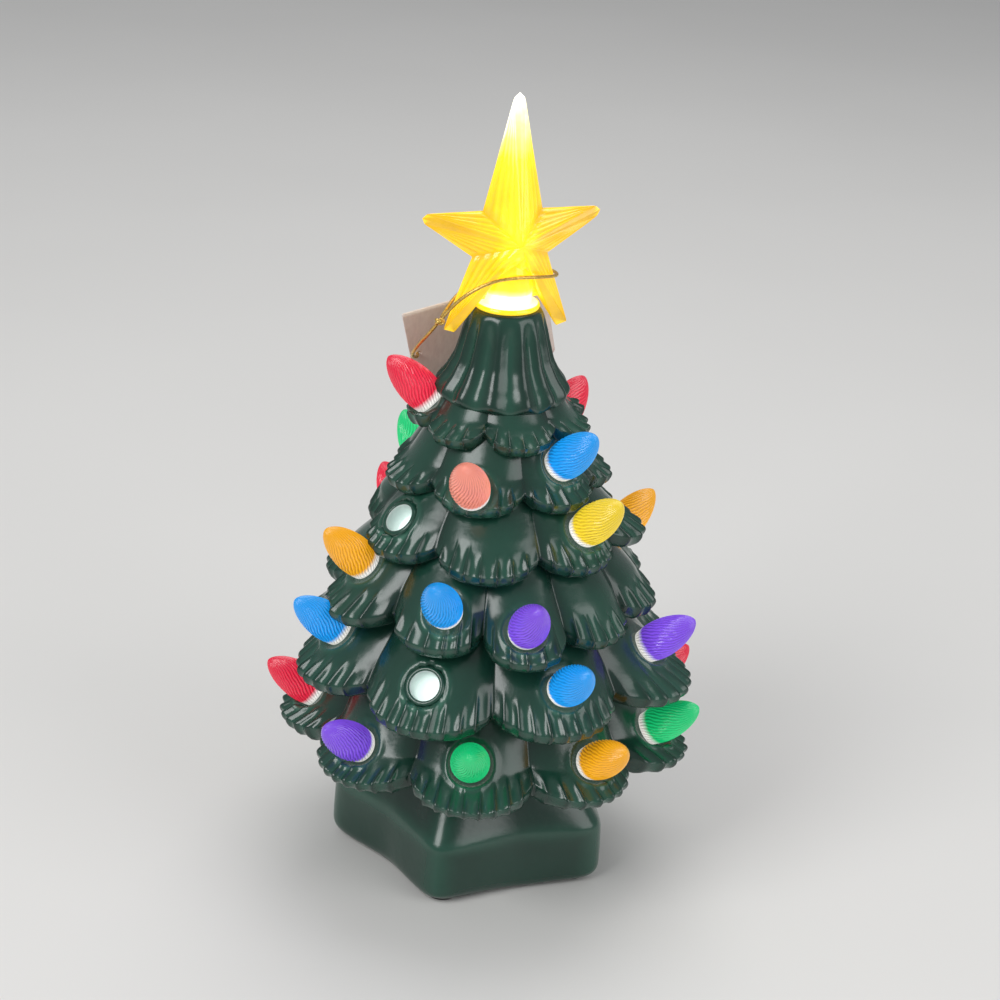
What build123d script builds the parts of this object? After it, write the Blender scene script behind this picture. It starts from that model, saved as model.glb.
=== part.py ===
from build123d import *
from collections import namedtuple
from itertools import pairwise
from math import cos, hypot, pi, radians, sin, tan
import os

# Millimetres and degrees. +Z is up, the surface the tree stands on is Z = 0 and the tree's axis is X = Y = 0.
# The front is -Y, and azimuths turn from +X towards +Y.

# Rubber pads under the foot
PAD_HEIGHT = 1.5
PAD_RADIUS = 4.5
PAD_REACH = 36.0

# Five-pointed ceramic foot
FOOT_POINTS = 5
FOOT_TURN = -104.0
FOOT_TIP_REACH = 46.5
FOOT_VALLEY_REACH = 34.5
FOOT_TIP_ROUND = 5.0
FOOT_VALLEY_ROUND = 4.0
FOOT_WALL_TOP = 20.0
FOOT_WALL = 4.5
FOOT_TIP_WALL = 7.5
FOOT_FLOOR = 6.0
ROOF_TIP_REACH = 31.0
ROOF_VALLEY_REACH = 27.5
COLLAR_RADIUS = 22.0
COLLAR_WALL = 4.0
COLLAR_HEIGHT = 7.0
COLLAR_GAP = 0.5

# Tree shell. Each tier gives the height and reach of its boughs' lower edge, the reach and height of the point where
# a bulb sits, its reach at the top, under the next tier, how far its bulbs point up, and the azimuths of its boughs:
# with a bulb, with an empty socket, and plain.
Tier = namedtuple("Tier", "edge reach seat_reach seat top_reach tilt bulbs empty plain")
TIERS = [
    Tier(41.5, 63.0, 52.7, 52.0, 40.0, 36, (16, 57, 98, 140, 187.5, 227.5, 267.5, 309.5, 343), (), ()),
    Tier(64.0, 60.5, 50.8, 78.0, 34.0, 40, (70.4, 115.4, 204, 297.5, 344), (250.4,), (25.4, 160.4)),
    Tier(86.0, 51.0, 43.9, 99.0, 28.5, 45, (28.9, 62, 95, 128, 206.5, 253.9, 284), (), (174, 317, 352)),
    Tier(106.5, 43.0, 35.3, 118.5, 22.0, 45, (75, 127, 319.4), (217.2,), (0, 38, 172, 268)),
    Tier(123.5, 34.5, 27.5, 133.6, 18.0, 45, (51, 106, 257.6, 318), (), (3, 158, 201)),
    Tier(140.0, 27.5, 21.4, 148.0, 14.0, 45, (183.6,), (), (28, 80, 132, 232, 287, 345)),
]
# Sockets that were punched further down or up their boughs, and longer and shorter boughs, by tier and azimuth
LOW_SOCKETS = {
    (1, 267.5): -3.0,
    (1, 343): 1.5,
    (2, 204): -2.0,
    (3, 128): 3.5,
    (3, 206.5): -2.0,
    (3, 284): 2.5,
    (4, 127): 3.0,
    (5, 257.6): 3.0,
    (5, 318): -2.5,
}
LONG_BOUGHS = {
    (1, 343): 3.0,
    (2, 344): 4.5,
    (3, 206.5): 3.0,
    (3, 284): 5.0,
    (4, 0): 3.0,
    (4, 172): -5.0,
    (5, 158): -3.0,
}
TREE_WALL = 4.5
TIER_LAP = 2.5
EDGE_ROUND = 3.5
EDGE_TUCK = 2.5
EDGE_LOBE = 0.18
SEAT_LOBE = 0.11
TOP_LOBE = 0.02

# Fluted crown with the star's hole
CROWN_FLUTES = 10
CROWN_FLUTE = 0.07
CROWN_FOOT = 150.0
CROWN_FOOT_REACH = 18.5
CROWN_WAIST = 160.0
CROWN_WAIST_REACH = 14.0
TREE_TOP = 177.0
CROWN_TOP_REACH = 10.5
STAR_HOLE_DEPTH = 10.0

# Push-in bulbs and their sockets
BULB_RADIUS = 5.75
BULB_LENGTH = 18.5
BULB_BELLY = 5.5
BULB_SHOULDER = 5.0
BULB_WAIST = 0.8
BULB_NOSE = 2.6
BULB_NOSE_DROP = 2.4
PEG_RADIUS = 4.3
PEG_LENGTH = 4.5
PEG_GAP = 0.2
SEAT_DEPTH = 1.5
SEAT_GAP = 0.4
SOCKET_LENGTH = 5.0
BOSS_WALL = 3.0
RIM_RADIUS = 7.2
RIM_RISE = 1.0
RING_TIERS = 4
COURSE_DROP = 1.0

# Star topper: half its outline, seen from its front, as (distance from the axis, height over the tree's top)
STAR_TIP = 62.0
STAR_SPIKE = (9.0, 28.6)
STAR_ARM = (26.7, 27.0)
STAR_NOTCH = (11.5, 15.2)
STAR_LEG_OUT = (18.9, -6.0)
STAR_LEG_IN = (15.8, -7.0)
STAR_CROTCH = (10.8, 0.6)
STAR_MIDDLE = 20.0
STAR_DEPTH = 9.0
STAR_YAW = 22.0
STAR_HOLLOW = 0.84
STEM_RADIUS = 7.0
STEM_WALL = 1.5
STEM_GAP = 0.3
STEM_INSERT = 9.0
STEM_TOP = 26.0
FLANGE_RADIUS = 9.4
FLANGE_HEIGHT = 1.5

# Hang tag on its cord
TAG_WIDTH = 44.0
TAG_HEIGHT = 30.0
TAG_THICKNESS = 0.6
TAG_MIDDLE = (-7.6, 21.3, 160.6)
TAG_YAW = 20.0
TAG_LEAN = 15.0
TAG_ROLL = 16.0
TAG_HOLE = (-19.6, -0.5)
TAG_HOLE_RADIUS = 0.6
CORD_DIAMETER = 1.0
KNOT_RADIUS = 1.6
KNOT_MIDDLE = (-18.9, -7.9, 173.6)
CORD_LOOP = [
    (-15.4, -9.4, 179.0),
    (-10.8, -10.6, 183.6),
    (-4.6, -10.4, 187.2),
    (1.8, -8.8, 188.2),
    (8.2, -4.8, 187.6),
    (12.8, 0.4, 186.4),
    (14.3, 5.6, 185.6),
    (11.4, 9.6, 185.8),
    (5.0, 10.2, 186.0),
    (-1.8, 9.0, 185.2),
    (-8.4, 5.9, 183.0),
    (-13.6, 1.4, 180.0),
    (-16.9, -3.6, 177.0),
]
CORD_TAIL = [
    (-22.0, -4.5, 168.3),
    (-24.6, -0.8, 164.0),
    (-26.6, 3.6, 159.6),
    (-27.0, 8.6, 156.4),
]
CORD_THROUGH = 2.0

# Battery case that closes the underside of the foot
CASE_WALL = 1.7
CASE_ROOM = 0.1
CASE_GAP = 0.4
FLANGE_RIM = 2.5
CASE_FLANGE = 3.0
CASE_PROUD = 0.2
CELL_RADIUS = 5.15
CELL_LENGTH = 43.3
NUB_RADIUS = 1.9
NUB_LENGTH = 1.2
CELL_GAP = 0.35
CONTACT_SHEET = 0.4
LEAF_SPACE = 2.4
LEAF_WIDTH = 6.0
TAB_WIDTH = 3.0
TAB_RISE = 1.4

# Battery door, its trunnions and screw
DOOR_THICKNESS = 2.4
DOOR_GAP = 0.3
DOOR_LEDGE = 1.2
TRUNNION_RADIUS = 0.8
TRUNNION_LENGTH = 1.6
TRUNNION_GAP = 0.1
SCREW_ALONG = 12.0
LUG_OUT = 2.0
LUG_RADIUS = 3.8
SCREW_HEAD_RADIUS = 2.3
SCREW_HEAD_HEIGHT = 1.2
SCREW_RADIUS = 1.25
SCREW_LENGTH = 7.0
SCREW_GAP = 0.45
SCREW_BOSS_WALL = 1.4
SLOT_WIDTH = 0.6

# Slide switch beside the cells
SWITCH_ACROSS = -19.0
SWITCH_LENGTH = 13.0
SWITCH_WIDTH = 6.4
KNOB_LENGTH = 4.0
KNOB_WIDTH = 3.4
KNOB_SINK = 0.5
SWITCH_TRAVEL = 4.0
SWITCH_GAP = 0.3
KNOB_STEM = 2.0
KNOB_STEM_RISE = 3.0
PIN_SPACING = 7.0
PIN_RADIUS = 0.5
PIN_RISE = 1.6

# Lamp that stands up into the tree
PEDESTAL_RADIUS = 9.0
PEDESTAL_WALL = 1.6
PEDESTAL_TOP = 46.0
PEDESTAL_FLANGE = 12.5
PEDESTAL_FLANGE_HEIGHT = 1.6
BOARD_RADIUS = 8.6
BOARD_THICKNESS = 1.6
CHIP_SIDE = 4.0
CHIP_HEIGHT = 1.4
CHIP_REACH = 4.6
CHIP_COUNT = 3
DOME_WALL = 1.3
DOME_GAP = 0.15
DOME_SKIRT = 6.0
DOME_LEDGE = 0.8
WIRE_DIAMETER = 1.2
WIRE_SLOT_GAP = 0.5
WIRE_SLOT_HEIGHT = 5.0
WIRE_LEAD = 5.4
WIRE_RISE_REACH = 5.0

# Heights and reaches that follow from the sizes above
foot_bottom = PAD_HEIGHT
foot_floor_top = foot_bottom + FOOT_FLOOR
seat_height = TIERS[0].edge
flange_bottom = foot_bottom + CASE_PROUD
flange_top = flange_bottom + CASE_FLANGE
cell_total = CELL_LENGTH + NUB_LENGTH
bay_length = cell_total + 2 * CONTACT_SHEET + LEAF_SPACE
bay_width = 4 * CELL_RADIUS + 3 * CELL_GAP
case_radius = hypot(bay_length, bay_width) / 2 + CASE_WALL + CASE_ROOM
flange_reach = case_radius + FLANGE_RIM
bay_top = flange_top + 2 * CELL_RADIUS + 2 * CELL_GAP
case_top = bay_top + CASE_WALL
cell_offset = CELL_RADIUS + CELL_GAP / 2
cell_height = flange_top + CELL_RADIUS + CELL_GAP
door_middle = flange_bottom + DOOR_THICKNESS / 2
door_length = bay_length + 2 * DOOR_LEDGE
door_width = bay_width + 2 * DOOR_LEDGE
hinge_x = -door_length / 2 + DOOR_THICKNESS / 2
lug_y = door_width / 2 + LUG_OUT
star_hole_radius = STEM_RADIUS + STEM_GAP
tree_opening = COLLAR_RADIUS + COLLAR_GAP
board_bottom = PEDESTAL_TOP
board_top = board_bottom + BOARD_THICKNESS
wire_height = case_top + WIRE_DIAMETER / 2


def at(azimuth, reach, height=0.0):
    """A point given by azimuth, distance from the axis and height."""
    turn = radians(azimuth)
    return Vector(reach * cos(turn), reach * sin(turn), height)


def drum(radius, low, high, x=0.0, y=0.0):
    """An upright cylinder between two heights."""
    return Pos(x, y, (low + high) / 2) * Cylinder(radius, high - low)


def block(length, width, low, high, x=0.0, y=0.0):
    """An upright box between two heights, centred on x and y."""
    return Pos(x, y, (low + high) / 2) * Box(length, width, high - low)


def bough_outline(height, valley, boughs):
    """A flat lobed face: one arc over each bough's tip, between the valleys halfway to its neighbours."""
    ordered = sorted(boughs)
    arcs = []
    for k, (turn, tip) in enumerate(ordered):
        before = ordered[k - 1][0] - (360 if k == 0 else 0)
        after = ordered[(k + 1) % len(ordered)][0] + (360 if k == len(ordered) - 1 else 0)
        start = at((before + turn) / 2, valley, height)
        end = at((turn + after) / 2, valley, height)
        arcs.append(ThreePointArc(start, at(turn, tip, height), end))
    return Face(Wire(arcs))


def tier_tops():
    """The height where each tier ends, inside the one above it."""
    above = [tier.edge for tier in TIERS[1:]] + [CROWN_FOOT]
    return [edge + TREE_WALL + TIER_LAP for edge in above]


def tier_solid(number, top, inset):
    """One tier of boughs: drooping lobes that flatten out towards the tier above."""
    tier = TIERS[number - 1]
    turns = tier.bulbs + tier.empty + tier.plain
    rings = [
        (tier.edge + inset, tier.reach - EDGE_TUCK, EDGE_LOBE, 1),
        (tier.edge + EDGE_ROUND + inset / 4, tier.reach, EDGE_LOBE, 1),
        (tier.seat, tier.seat_reach, SEAT_LOBE, 0),
        (top, tier.top_reach, TOP_LOBE, 0),
    ]
    if inset > EDGE_ROUND:
        rings.pop(0)
        rings[0] = (tier.edge + inset, tier.reach, EDGE_LOBE, 1)
    faces = []
    for z, r, lobe, share in rings:
        boughs = [(turn, r - inset + share * LONG_BOUGHS.get((number, turn), 0.0)) for turn in turns]
        faces.append(bough_outline(z, r * (1 - lobe) - inset, boughs))
    return loft(faces, ruled=True)


def crown_solid(inset):
    """The fluted crown above the top tier."""
    turns = tuple(360 / CROWN_FLUTES * k for k in range(CROWN_FLUTES))
    top = TREE_TOP - (STAR_HOLE_DEPTH if inset else 0)
    slope = (CROWN_WAIST_REACH - CROWN_TOP_REACH) / (TREE_TOP - CROWN_WAIST)
    rings = [
        (CROWN_FOOT + inset, CROWN_FOOT_REACH),
        (CROWN_WAIST, CROWN_WAIST_REACH),
        (top, CROWN_TOP_REACH + slope * (TREE_TOP - top)),
    ]
    faces = [bough_outline(z, r * (1 - CROWN_FLUTE) - inset, [(t, r - inset) for t in turns]) for z, r in rings]
    return loft(faces, ruled=True)


def tree_form(inset):
    """Every tier and the crown as one solid, drawn in by the inset."""
    pieces = [tier_solid(number, top, inset) for number, top in enumerate(tier_tops(), start=1)]
    return pieces[0].fuse(*pieces[1:], crown_solid(inset))


def socket_plane(number, azimuth):
    """The floor of a socket's seat: its origin on the socket's axis, its normal along the bulb."""
    tier = TIERS[number - 1]
    slip = LOW_SOCKETS.get((number, azimuth), 0.0)
    fall = (tier.seat - tier.edge - EDGE_ROUND) / (tier.reach - tier.seat_reach)
    outward = at(azimuth, cos(radians(tier.tilt)), sin(radians(tier.tilt)))
    surface = at(azimuth, tier.seat_reach + slip, tier.seat - slip * fall)
    side = at(azimuth + 90, 1.0)
    return Plane(surface - outward * SEAT_DEPTH, x_dir=side, z_dir=outward)


def along(plane, radius, low, high):
    """A cylinder along a plane's normal, between two distances from the plane."""
    return plane * Pos(0, 0, (low + high) / 2) * Cylinder(radius, high - low)


def tree_courses(shell):
    """The casting divided level, just below its lower tiers' edges, into one plain hollow ring a tier and the top."""
    levels = [TIERS[0].edge, *(tier.edge for tier in TIERS[1:RING_TIERS + 1]), TREE_TOP + 2 * COURSE_DROP]
    width = 3 * TIERS[0].reach
    slabs = [block(width, width, low - COURSE_DROP, high - COURSE_DROP) for low, high in pairwise(levels)]
    return [(shell & slab).solid() for slab in slabs]


def make_tree_shell():
    """The slip-cast tree, open below and at the top, with a socket in each lit bough. It is divided into solids that
    its collision can follow: a ring for each lower tier, the top, and the casting round each empty socket."""
    sockets = []
    rims = []
    for number, tier in enumerate(TIERS, start=1):
        sockets += [socket_plane(number, turn) for turn in tier.bulbs + tier.empty]
        rims += [socket_plane(number, turn) for turn in tier.empty]
    hole = PEG_RADIUS + PEG_GAP
    bosses = [along(plane, hole + BOSS_WALL, -SOCKET_LENGTH, 0) for plane in sockets]
    holes = [along(plane, hole, -SOCKET_LENGTH - PEG_GAP, SEAT_DEPTH) for plane in sockets]
    seats = [along(plane, BULB_RADIUS + SEAT_GAP, 0, BULB_LENGTH) for plane in sockets]
    cavity = tree_form(TREE_WALL).cut(*bosses)
    shell = tree_form(0.0).cut(cavity)
    shell = shell.cut(*holes, *seats)
    bottom = TIERS[0].edge
    mouth = drum(tree_opening, bottom - TREE_WALL, bottom + 2 * TREE_WALL)
    top_hole = drum(star_hole_radius, TREE_TOP - 2 * STAR_HOLE_DEPTH, TREE_TOP + STAR_HOLE_DEPTH)
    shell = shell.cut(mouth, top_hole)
    rims = [along(plane, RIM_RADIUS, -SOCKET_LENGTH - 1, SEAT_DEPTH + RIM_RISE) & shell for plane in rims]
    rims = [max(rim.solids(), key=lambda solid: solid.volume) for rim in rims]
    return tree_courses(shell.cut(*rims)), *rims


def make_bulb(number, azimuth):
    """A flame-shaped bulb on a round peg, seated on its socket's floor."""
    shoulder = (BULB_SHOULDER, 0)
    tip = (0, BULB_LENGTH)
    waist = (BULB_RADIUS * BULB_WAIST, (BULB_BELLY + BULB_LENGTH) / 2)
    nose = (BULB_NOSE, BULB_LENGTH - BULB_NOSE_DROP)
    flank = Spline(shoulder, (BULB_RADIUS, BULB_BELLY), waist, nose, tip, tangents=((0.3, 1), (-1, 0)))
    rest = Polyline(tip, (0, -PEG_LENGTH), (PEG_RADIUS, -PEG_LENGTH), (PEG_RADIUS, 0), shoulder)
    profile = Plane.XZ * make_face([flank, rest])
    return socket_plane(number, azimuth) * revolve(profile, Axis.Z)


def star_face(height, tip, valley):
    """The foot's five-pointed outline with rounded corners."""
    step = 180 / FOOT_POINTS
    points = []
    for k in range(FOOT_POINTS):
        points.append(at(FOOT_TURN + 2 * k * step, tip))
        points.append(at(FOOT_TURN + (2 * k + 1) * step, valley))
    face = Face(Wire.make_polygon(points))
    middle = (tip + valley) / 2
    tips = [v for v in face.vertices() if hypot(v.X, v.Y) > middle]
    face = face.fillet_2d(min(FOOT_TIP_ROUND, tip / 6), tips)
    valleys = [v for v in face.vertices() if hypot(v.X, v.Y) < valley + 0.01]
    face = face.fillet_2d(min(FOOT_VALLEY_ROUND, valley / 8), valleys)
    return Pos(0, 0, height) * face


def make_star_foot():
    """The hollow five-pointed foot: upright walls, a ridged roof, and a collar that centres the tree."""
    outside = loft(
        [
            star_face(foot_bottom, FOOT_TIP_REACH, FOOT_VALLEY_REACH),
            star_face(FOOT_WALL_TOP, FOOT_TIP_REACH, FOOT_VALLEY_REACH),
            star_face(seat_height, ROOF_TIP_REACH, ROOF_VALLEY_REACH),
        ],
        ruled=True,
    )
    in_tip = FOOT_TIP_REACH - FOOT_TIP_WALL
    in_valley = FOOT_VALLEY_REACH - FOOT_WALL
    hollow = loft(
        [
            star_face(foot_floor_top, in_tip, in_valley),
            star_face(FOOT_WALL_TOP - FOOT_WALL / 2, in_tip, in_valley),
            star_face(seat_height - FOOT_WALL, ROOF_TIP_REACH - FOOT_TIP_WALL, ROOF_VALLEY_REACH - FOOT_WALL),
        ],
        ruled=True,
    )
    collar = drum(COLLAR_RADIUS, seat_height - FOOT_WALL / 2, seat_height + COLLAR_HEIGHT)
    light_way = drum(COLLAR_RADIUS - COLLAR_WALL, seat_height - 2 * FOOT_WALL, seat_height + 2 * COLLAR_HEIGHT)
    case_hole = drum(case_radius + CASE_GAP, 0, case_top + CASE_GAP)
    recess = drum(flange_reach + CASE_GAP, 0, flange_top)
    return outside.cut(hollow).fuse(collar).cut(light_way, case_hole, recess)


def make_foot_pads():
    """One rubber pad under each point of the foot."""
    step = 360 / FOOT_POINTS
    spots = [at(FOOT_TURN + k * step, PAD_REACH) for k in range(FOOT_POINTS)]
    return [drum(PAD_RADIUS, 0, PAD_HEIGHT, spot.X, spot.Y) for spot in spots]


def door_plan(grow, low, high):
    """The battery door's plan, with its screw lug, between two heights."""
    plate = block(door_length + 2 * grow, door_width + 2 * grow, low, high)
    lug = drum(LUG_RADIUS + grow, low, high, SCREW_ALONG, lug_y)
    bridge = block(2 * (LUG_RADIUS + grow), lug_y, low, high, SCREW_ALONG, lug_y / 2)
    return plate.fuse(lug, bridge)


def make_battery_case():
    """The round case: a flange in the foot's recess, a drum, the cells' bay, the door's window and a screw boss."""
    flange = drum(flange_reach, flange_bottom, flange_top)
    body = drum(case_radius, flange_top, case_top)
    room = drum(case_radius - CASE_WALL, flange_top, bay_top)
    bay = block(bay_length + 2 * CASE_WALL, bay_width + 2 * CASE_WALL, flange_top, bay_top)
    bay = bay & drum(case_radius, flange_top, bay_top)
    boss_radius = SCREW_RADIUS + SCREW_GAP + SCREW_BOSS_WALL
    boss = drum(boss_radius, flange_top, bay_top, SCREW_ALONG, lug_y)
    case = flange.fuse(body.cut(room), bay, boss)
    window = door_plan(DOOR_GAP, 0, flange_bottom + DOOR_THICKNESS + DOOR_GAP)
    inside = block(bay_length, bay_width, flange_bottom, bay_top)
    screw_hole = drum(SCREW_RADIUS + SCREW_GAP, 0, flange_top + SCREW_LENGTH, SCREW_ALONG, lug_y)
    trunnion_reach = door_width + 2 * TRUNNION_LENGTH + 2 * DOOR_GAP
    trunnion_hole = Cylinder(TRUNNION_RADIUS + TRUNNION_GAP, trunnion_reach, rotation=(90, 0, 0))
    trunnion_hole = Pos(hinge_x, 0, door_middle) * trunnion_hole
    knob_way = block(
        KNOB_LENGTH + SWITCH_TRAVEL + 2 * SWITCH_GAP,
        KNOB_WIDTH + 2 * SWITCH_GAP,
        0,
        flange_top + SWITCH_GAP,
        -SWITCH_TRAVEL / 2,
        SWITCH_ACROSS,
    )
    cuts = [window, inside, screw_hole, trunnion_hole, knob_way]
    for side in (-1, 1):
        tab_x = -bay_length / 2 + CONTACT_SHEET / 2
        cuts.append(block(2 * CONTACT_SHEET, TAB_WIDTH + CASE_GAP, bay_top, case_top, tab_x, side * cell_offset))
        pin_x = side * PIN_SPACING / 2 - SWITCH_TRAVEL / 2
        cuts.append(drum(PIN_RADIUS + CASE_GAP, bay_top, case_top, pin_x, SWITCH_ACROSS))
    return case.cut(*cuts)


def make_battery_door():
    """The door plate: a rounded hinge end with two trunnions, and a lug with the screw's hole."""
    plate = door_plan(0, flange_bottom, flange_bottom + DOOR_THICKNESS)
    end = block(DOOR_THICKNESS, 2 * door_width, 0, 2 * flange_top, hinge_x - DOOR_THICKNESS / 2)
    barrel = Pos(hinge_x, 0, door_middle) * Cylinder(DOOR_THICKNESS / 2, door_width, rotation=(90, 0, 0))
    pins = Cylinder(TRUNNION_RADIUS, door_width + 2 * TRUNNION_LENGTH, rotation=(90, 0, 0))
    pins = Pos(hinge_x, 0, door_middle) * pins
    shank = drum(SCREW_RADIUS, 0, 2 * flange_top, SCREW_ALONG, lug_y)
    head = drum(SCREW_HEAD_RADIUS, 0, flange_bottom + SCREW_HEAD_HEIGHT, SCREW_ALONG, lug_y)
    return plate.cut(end).fuse(barrel, pins).cut(shank, head)


def make_door_screw():
    """The door's captive screw, with a slotted head sunk in the lug."""
    head_top = flange_bottom + SCREW_HEAD_HEIGHT
    head = drum(SCREW_HEAD_RADIUS, flange_bottom, head_top, SCREW_ALONG, lug_y)
    shank = drum(SCREW_RADIUS, head_top, flange_bottom + SCREW_LENGTH, SCREW_ALONG, lug_y)
    slot = block(
        2 * SCREW_HEAD_RADIUS, SLOT_WIDTH, 0, flange_bottom + SCREW_HEAD_HEIGHT / 2, SCREW_ALONG, lug_y
    )
    return head.fuse(shank).cut(slot)


def make_cell(side):
    """An AAA cell lying along X, with its nub towards -X for side 1 and towards +X for side -1."""
    start = -bay_length / 2 + CONTACT_SHEET
    can_middle = start + NUB_LENGTH + CELL_LENGTH / 2
    nub_middle = start + NUB_LENGTH / 2
    can = Pos(side * can_middle, side * cell_offset, cell_height) * Cylinder(
        CELL_RADIUS, CELL_LENGTH, rotation=(0, 90, 0)
    )
    nub = Pos(side * nub_middle, side * cell_offset, cell_height) * Cylinder(
        NUB_RADIUS, NUB_LENGTH, rotation=(0, 90, 0)
    )
    return can.fuse(nub)


def contact_plate(end, width, middle):
    """A stamped plate against one end wall of the bay: end is -1 or 1 along X."""
    x = end * (bay_length / 2 - CONTACT_SHEET / 2)
    return block(CONTACT_SHEET, width, flange_top + CELL_GAP, bay_top - CELL_GAP, x, middle)


def contact_leaf(end, middle):
    """A bent leaf that presses on a cell's flat end, rising from the plate at that end of the bay."""
    wall = bay_length / 2 - CONTACT_SHEET
    low = cell_height - CELL_RADIUS / 2
    high = cell_height + CELL_RADIUS / 2
    crest = wall - LEAF_SPACE
    points = [
        (wall, low),
        (crest, cell_height),
        (wall, high),
        (wall, high - 2 * CONTACT_SHEET),
        (crest + CONTACT_SHEET, cell_height),
        (wall, low + 2 * CONTACT_SHEET),
    ]
    face = Plane.XZ * Polygon(*[(end * x, z) for x, z in points], align=None)
    return Pos(0, middle, 0) * extrude(face, LEAF_WIDTH / 2, both=True)


def make_contact_bridge():
    """The plate that joins the two cells at the +X end, with a leaf on the flat-ended one."""
    return contact_plate(1, bay_width - 2 * CELL_GAP, 0).fuse(contact_leaf(1, cell_offset))


def contact_tab(side):
    """The solder tab that comes up through the case's top."""
    x = -bay_length / 2 + CONTACT_SHEET / 2
    return block(CONTACT_SHEET, TAB_WIDTH, bay_top - 2 * CELL_GAP, case_top + TAB_RISE, x, side * cell_offset)


def make_contact_positive():
    """The plate behind the first cell's nub."""
    return contact_plate(-1, 2 * CELL_RADIUS - CELL_GAP, cell_offset).fuse(contact_tab(1))


def make_contact_negative():
    """The plate and leaf at the second cell's flat end."""
    plate = contact_plate(-1, 2 * CELL_RADIUS - CELL_GAP, -cell_offset)
    return plate.fuse(contact_leaf(-1, -cell_offset), contact_tab(-1))


def make_switch_body():
    """The switch's housing between flange and case top, with a slot below for the slider and two pins above."""
    middle = -SWITCH_TRAVEL / 2
    housing = block(SWITCH_LENGTH, SWITCH_WIDTH, flange_top, bay_top, middle, SWITCH_ACROSS)
    slot = block(
        KNOB_STEM + SWITCH_TRAVEL + 2 * SWITCH_GAP,
        KNOB_STEM + 2 * SWITCH_GAP,
        flange_top,
        flange_top + KNOB_STEM_RISE + SWITCH_GAP,
        middle,
        SWITCH_ACROSS,
    )
    pins = [
        drum(PIN_RADIUS, bay_top, case_top + PIN_RISE, middle + side * PIN_SPACING / 2, SWITCH_ACROSS)
        for side in (-1, 1)
    ]
    return housing.cut(slot).fuse(*pins)


def make_switch_slider():
    """The knob in the flange's window, at its ON end, and the stem into the switch."""
    knob_top = flange_top - SWITCH_GAP
    knob = block(KNOB_LENGTH, KNOB_WIDTH, flange_bottom + KNOB_SINK, knob_top, 0, SWITCH_ACROSS)
    stem = block(KNOB_STEM, KNOB_STEM, knob_top, flange_top + KNOB_STEM_RISE, 0, SWITCH_ACROSS)
    return knob.fuse(stem)


def make_lamp_pedestal():
    """The white tube that carries the lamp, standing on the case, with slots for the wires at its foot."""
    tube = drum(PEDESTAL_RADIUS, case_top, PEDESTAL_TOP)
    foot = drum(PEDESTAL_FLANGE, case_top, case_top + PEDESTAL_FLANGE_HEIGHT)
    bore = drum(PEDESTAL_RADIUS - PEDESTAL_WALL, 0, 2 * PEDESTAL_TOP)
    slot_width = WIRE_DIAMETER + 2 * WIRE_SLOT_GAP
    slot_top = case_top + WIRE_SLOT_HEIGHT
    west = block(PEDESTAL_FLANGE, slot_width, 0, slot_top, -PEDESTAL_FLANGE + WIRE_DIAMETER, 0)
    south = block(slot_width, PEDESTAL_FLANGE, 0, slot_top, pin_near_x, -PEDESTAL_FLANGE + WIRE_DIAMETER)
    return tube.fuse(foot).cut(bore, west, south)


def make_led_board():
    """The round circuit board on top of the pedestal."""
    return drum(BOARD_RADIUS, board_bottom, board_top)


def make_led_chips():
    """The light-emitting chips on the board."""
    spots = [at(360 / CHIP_COUNT * k, CHIP_REACH) for k in range(CHIP_COUNT)]
    return [block(CHIP_SIDE, CHIP_SIDE, board_top, board_top + CHIP_HEIGHT, s.X, s.Y) for s in spots]


def make_diffuser_dome():
    """The milky dome pushed over the top of the pedestal."""
    inner = PEDESTAL_RADIUS + DOME_GAP
    outer = inner + DOME_WALL
    skirt = drum(outer, PEDESTAL_TOP - DOME_SKIRT, board_top).fuse(Pos(0, 0, board_top) * Sphere(outer))
    hollow = Pos(0, 0, board_top) * Sphere(inner - DOME_LEDGE)
    room = drum(inner, PEDESTAL_TOP - 2 * DOME_SKIRT, board_top).fuse(hollow)
    below = drum(2 * outer, PEDESTAL_TOP - 4 * DOME_SKIRT, PEDESTAL_TOP - DOME_SKIRT)
    return skirt.cut(room).cut(below)


def cord_tube(points, diameter, label):
    """A round tube along straight runs joined by the largest arcs that the runs allow."""
    spots = [Vector(*p) for p in points]
    runs = [b - a for a, b in zip(spots, spots[1:])]
    radii = []
    for first, second in zip(runs, runs[1:]):
        half_turn = radians(first.get_angle(second)) / 2
        radii.append(0.45 * min(first.length, second.length) / tan(half_turn))
    path = FilletPolyline(*spots, radius=radii)
    tube = sweep(Plane(path @ 0, z_dir=path % 0) * Circle(diameter / 2), path=path)
    expected = path.length * pi * diameter**2 / 4
    print(label, "length", round(path.length, 1), "radii", [round(r, 1) for r in radii])
    print(label, "volume", round(tube.volume, 2), "section times length", round(expected, 2))
    return tube


tab_x = -bay_length / 2 + CONTACT_SHEET
pin_far_x = -SWITCH_TRAVEL / 2 - PIN_SPACING / 2
pin_near_x = -SWITCH_TRAVEL / 2 + PIN_SPACING / 2


def make_wire_positive():
    """From the positive tab along the case's top, then up the pedestal to the board."""
    return cord_tube(
        [
            (tab_x, cell_offset, wire_height),
            (tab_x + WIRE_LEAD, cell_offset, wire_height),
            (-PEDESTAL_FLANGE - WIRE_DIAMETER, 0, wire_height),
            (-WIRE_RISE_REACH, 0, wire_height),
            (-WIRE_RISE_REACH, 0, board_bottom),
        ],
        WIRE_DIAMETER,
        "wire_positive",
    )


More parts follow.
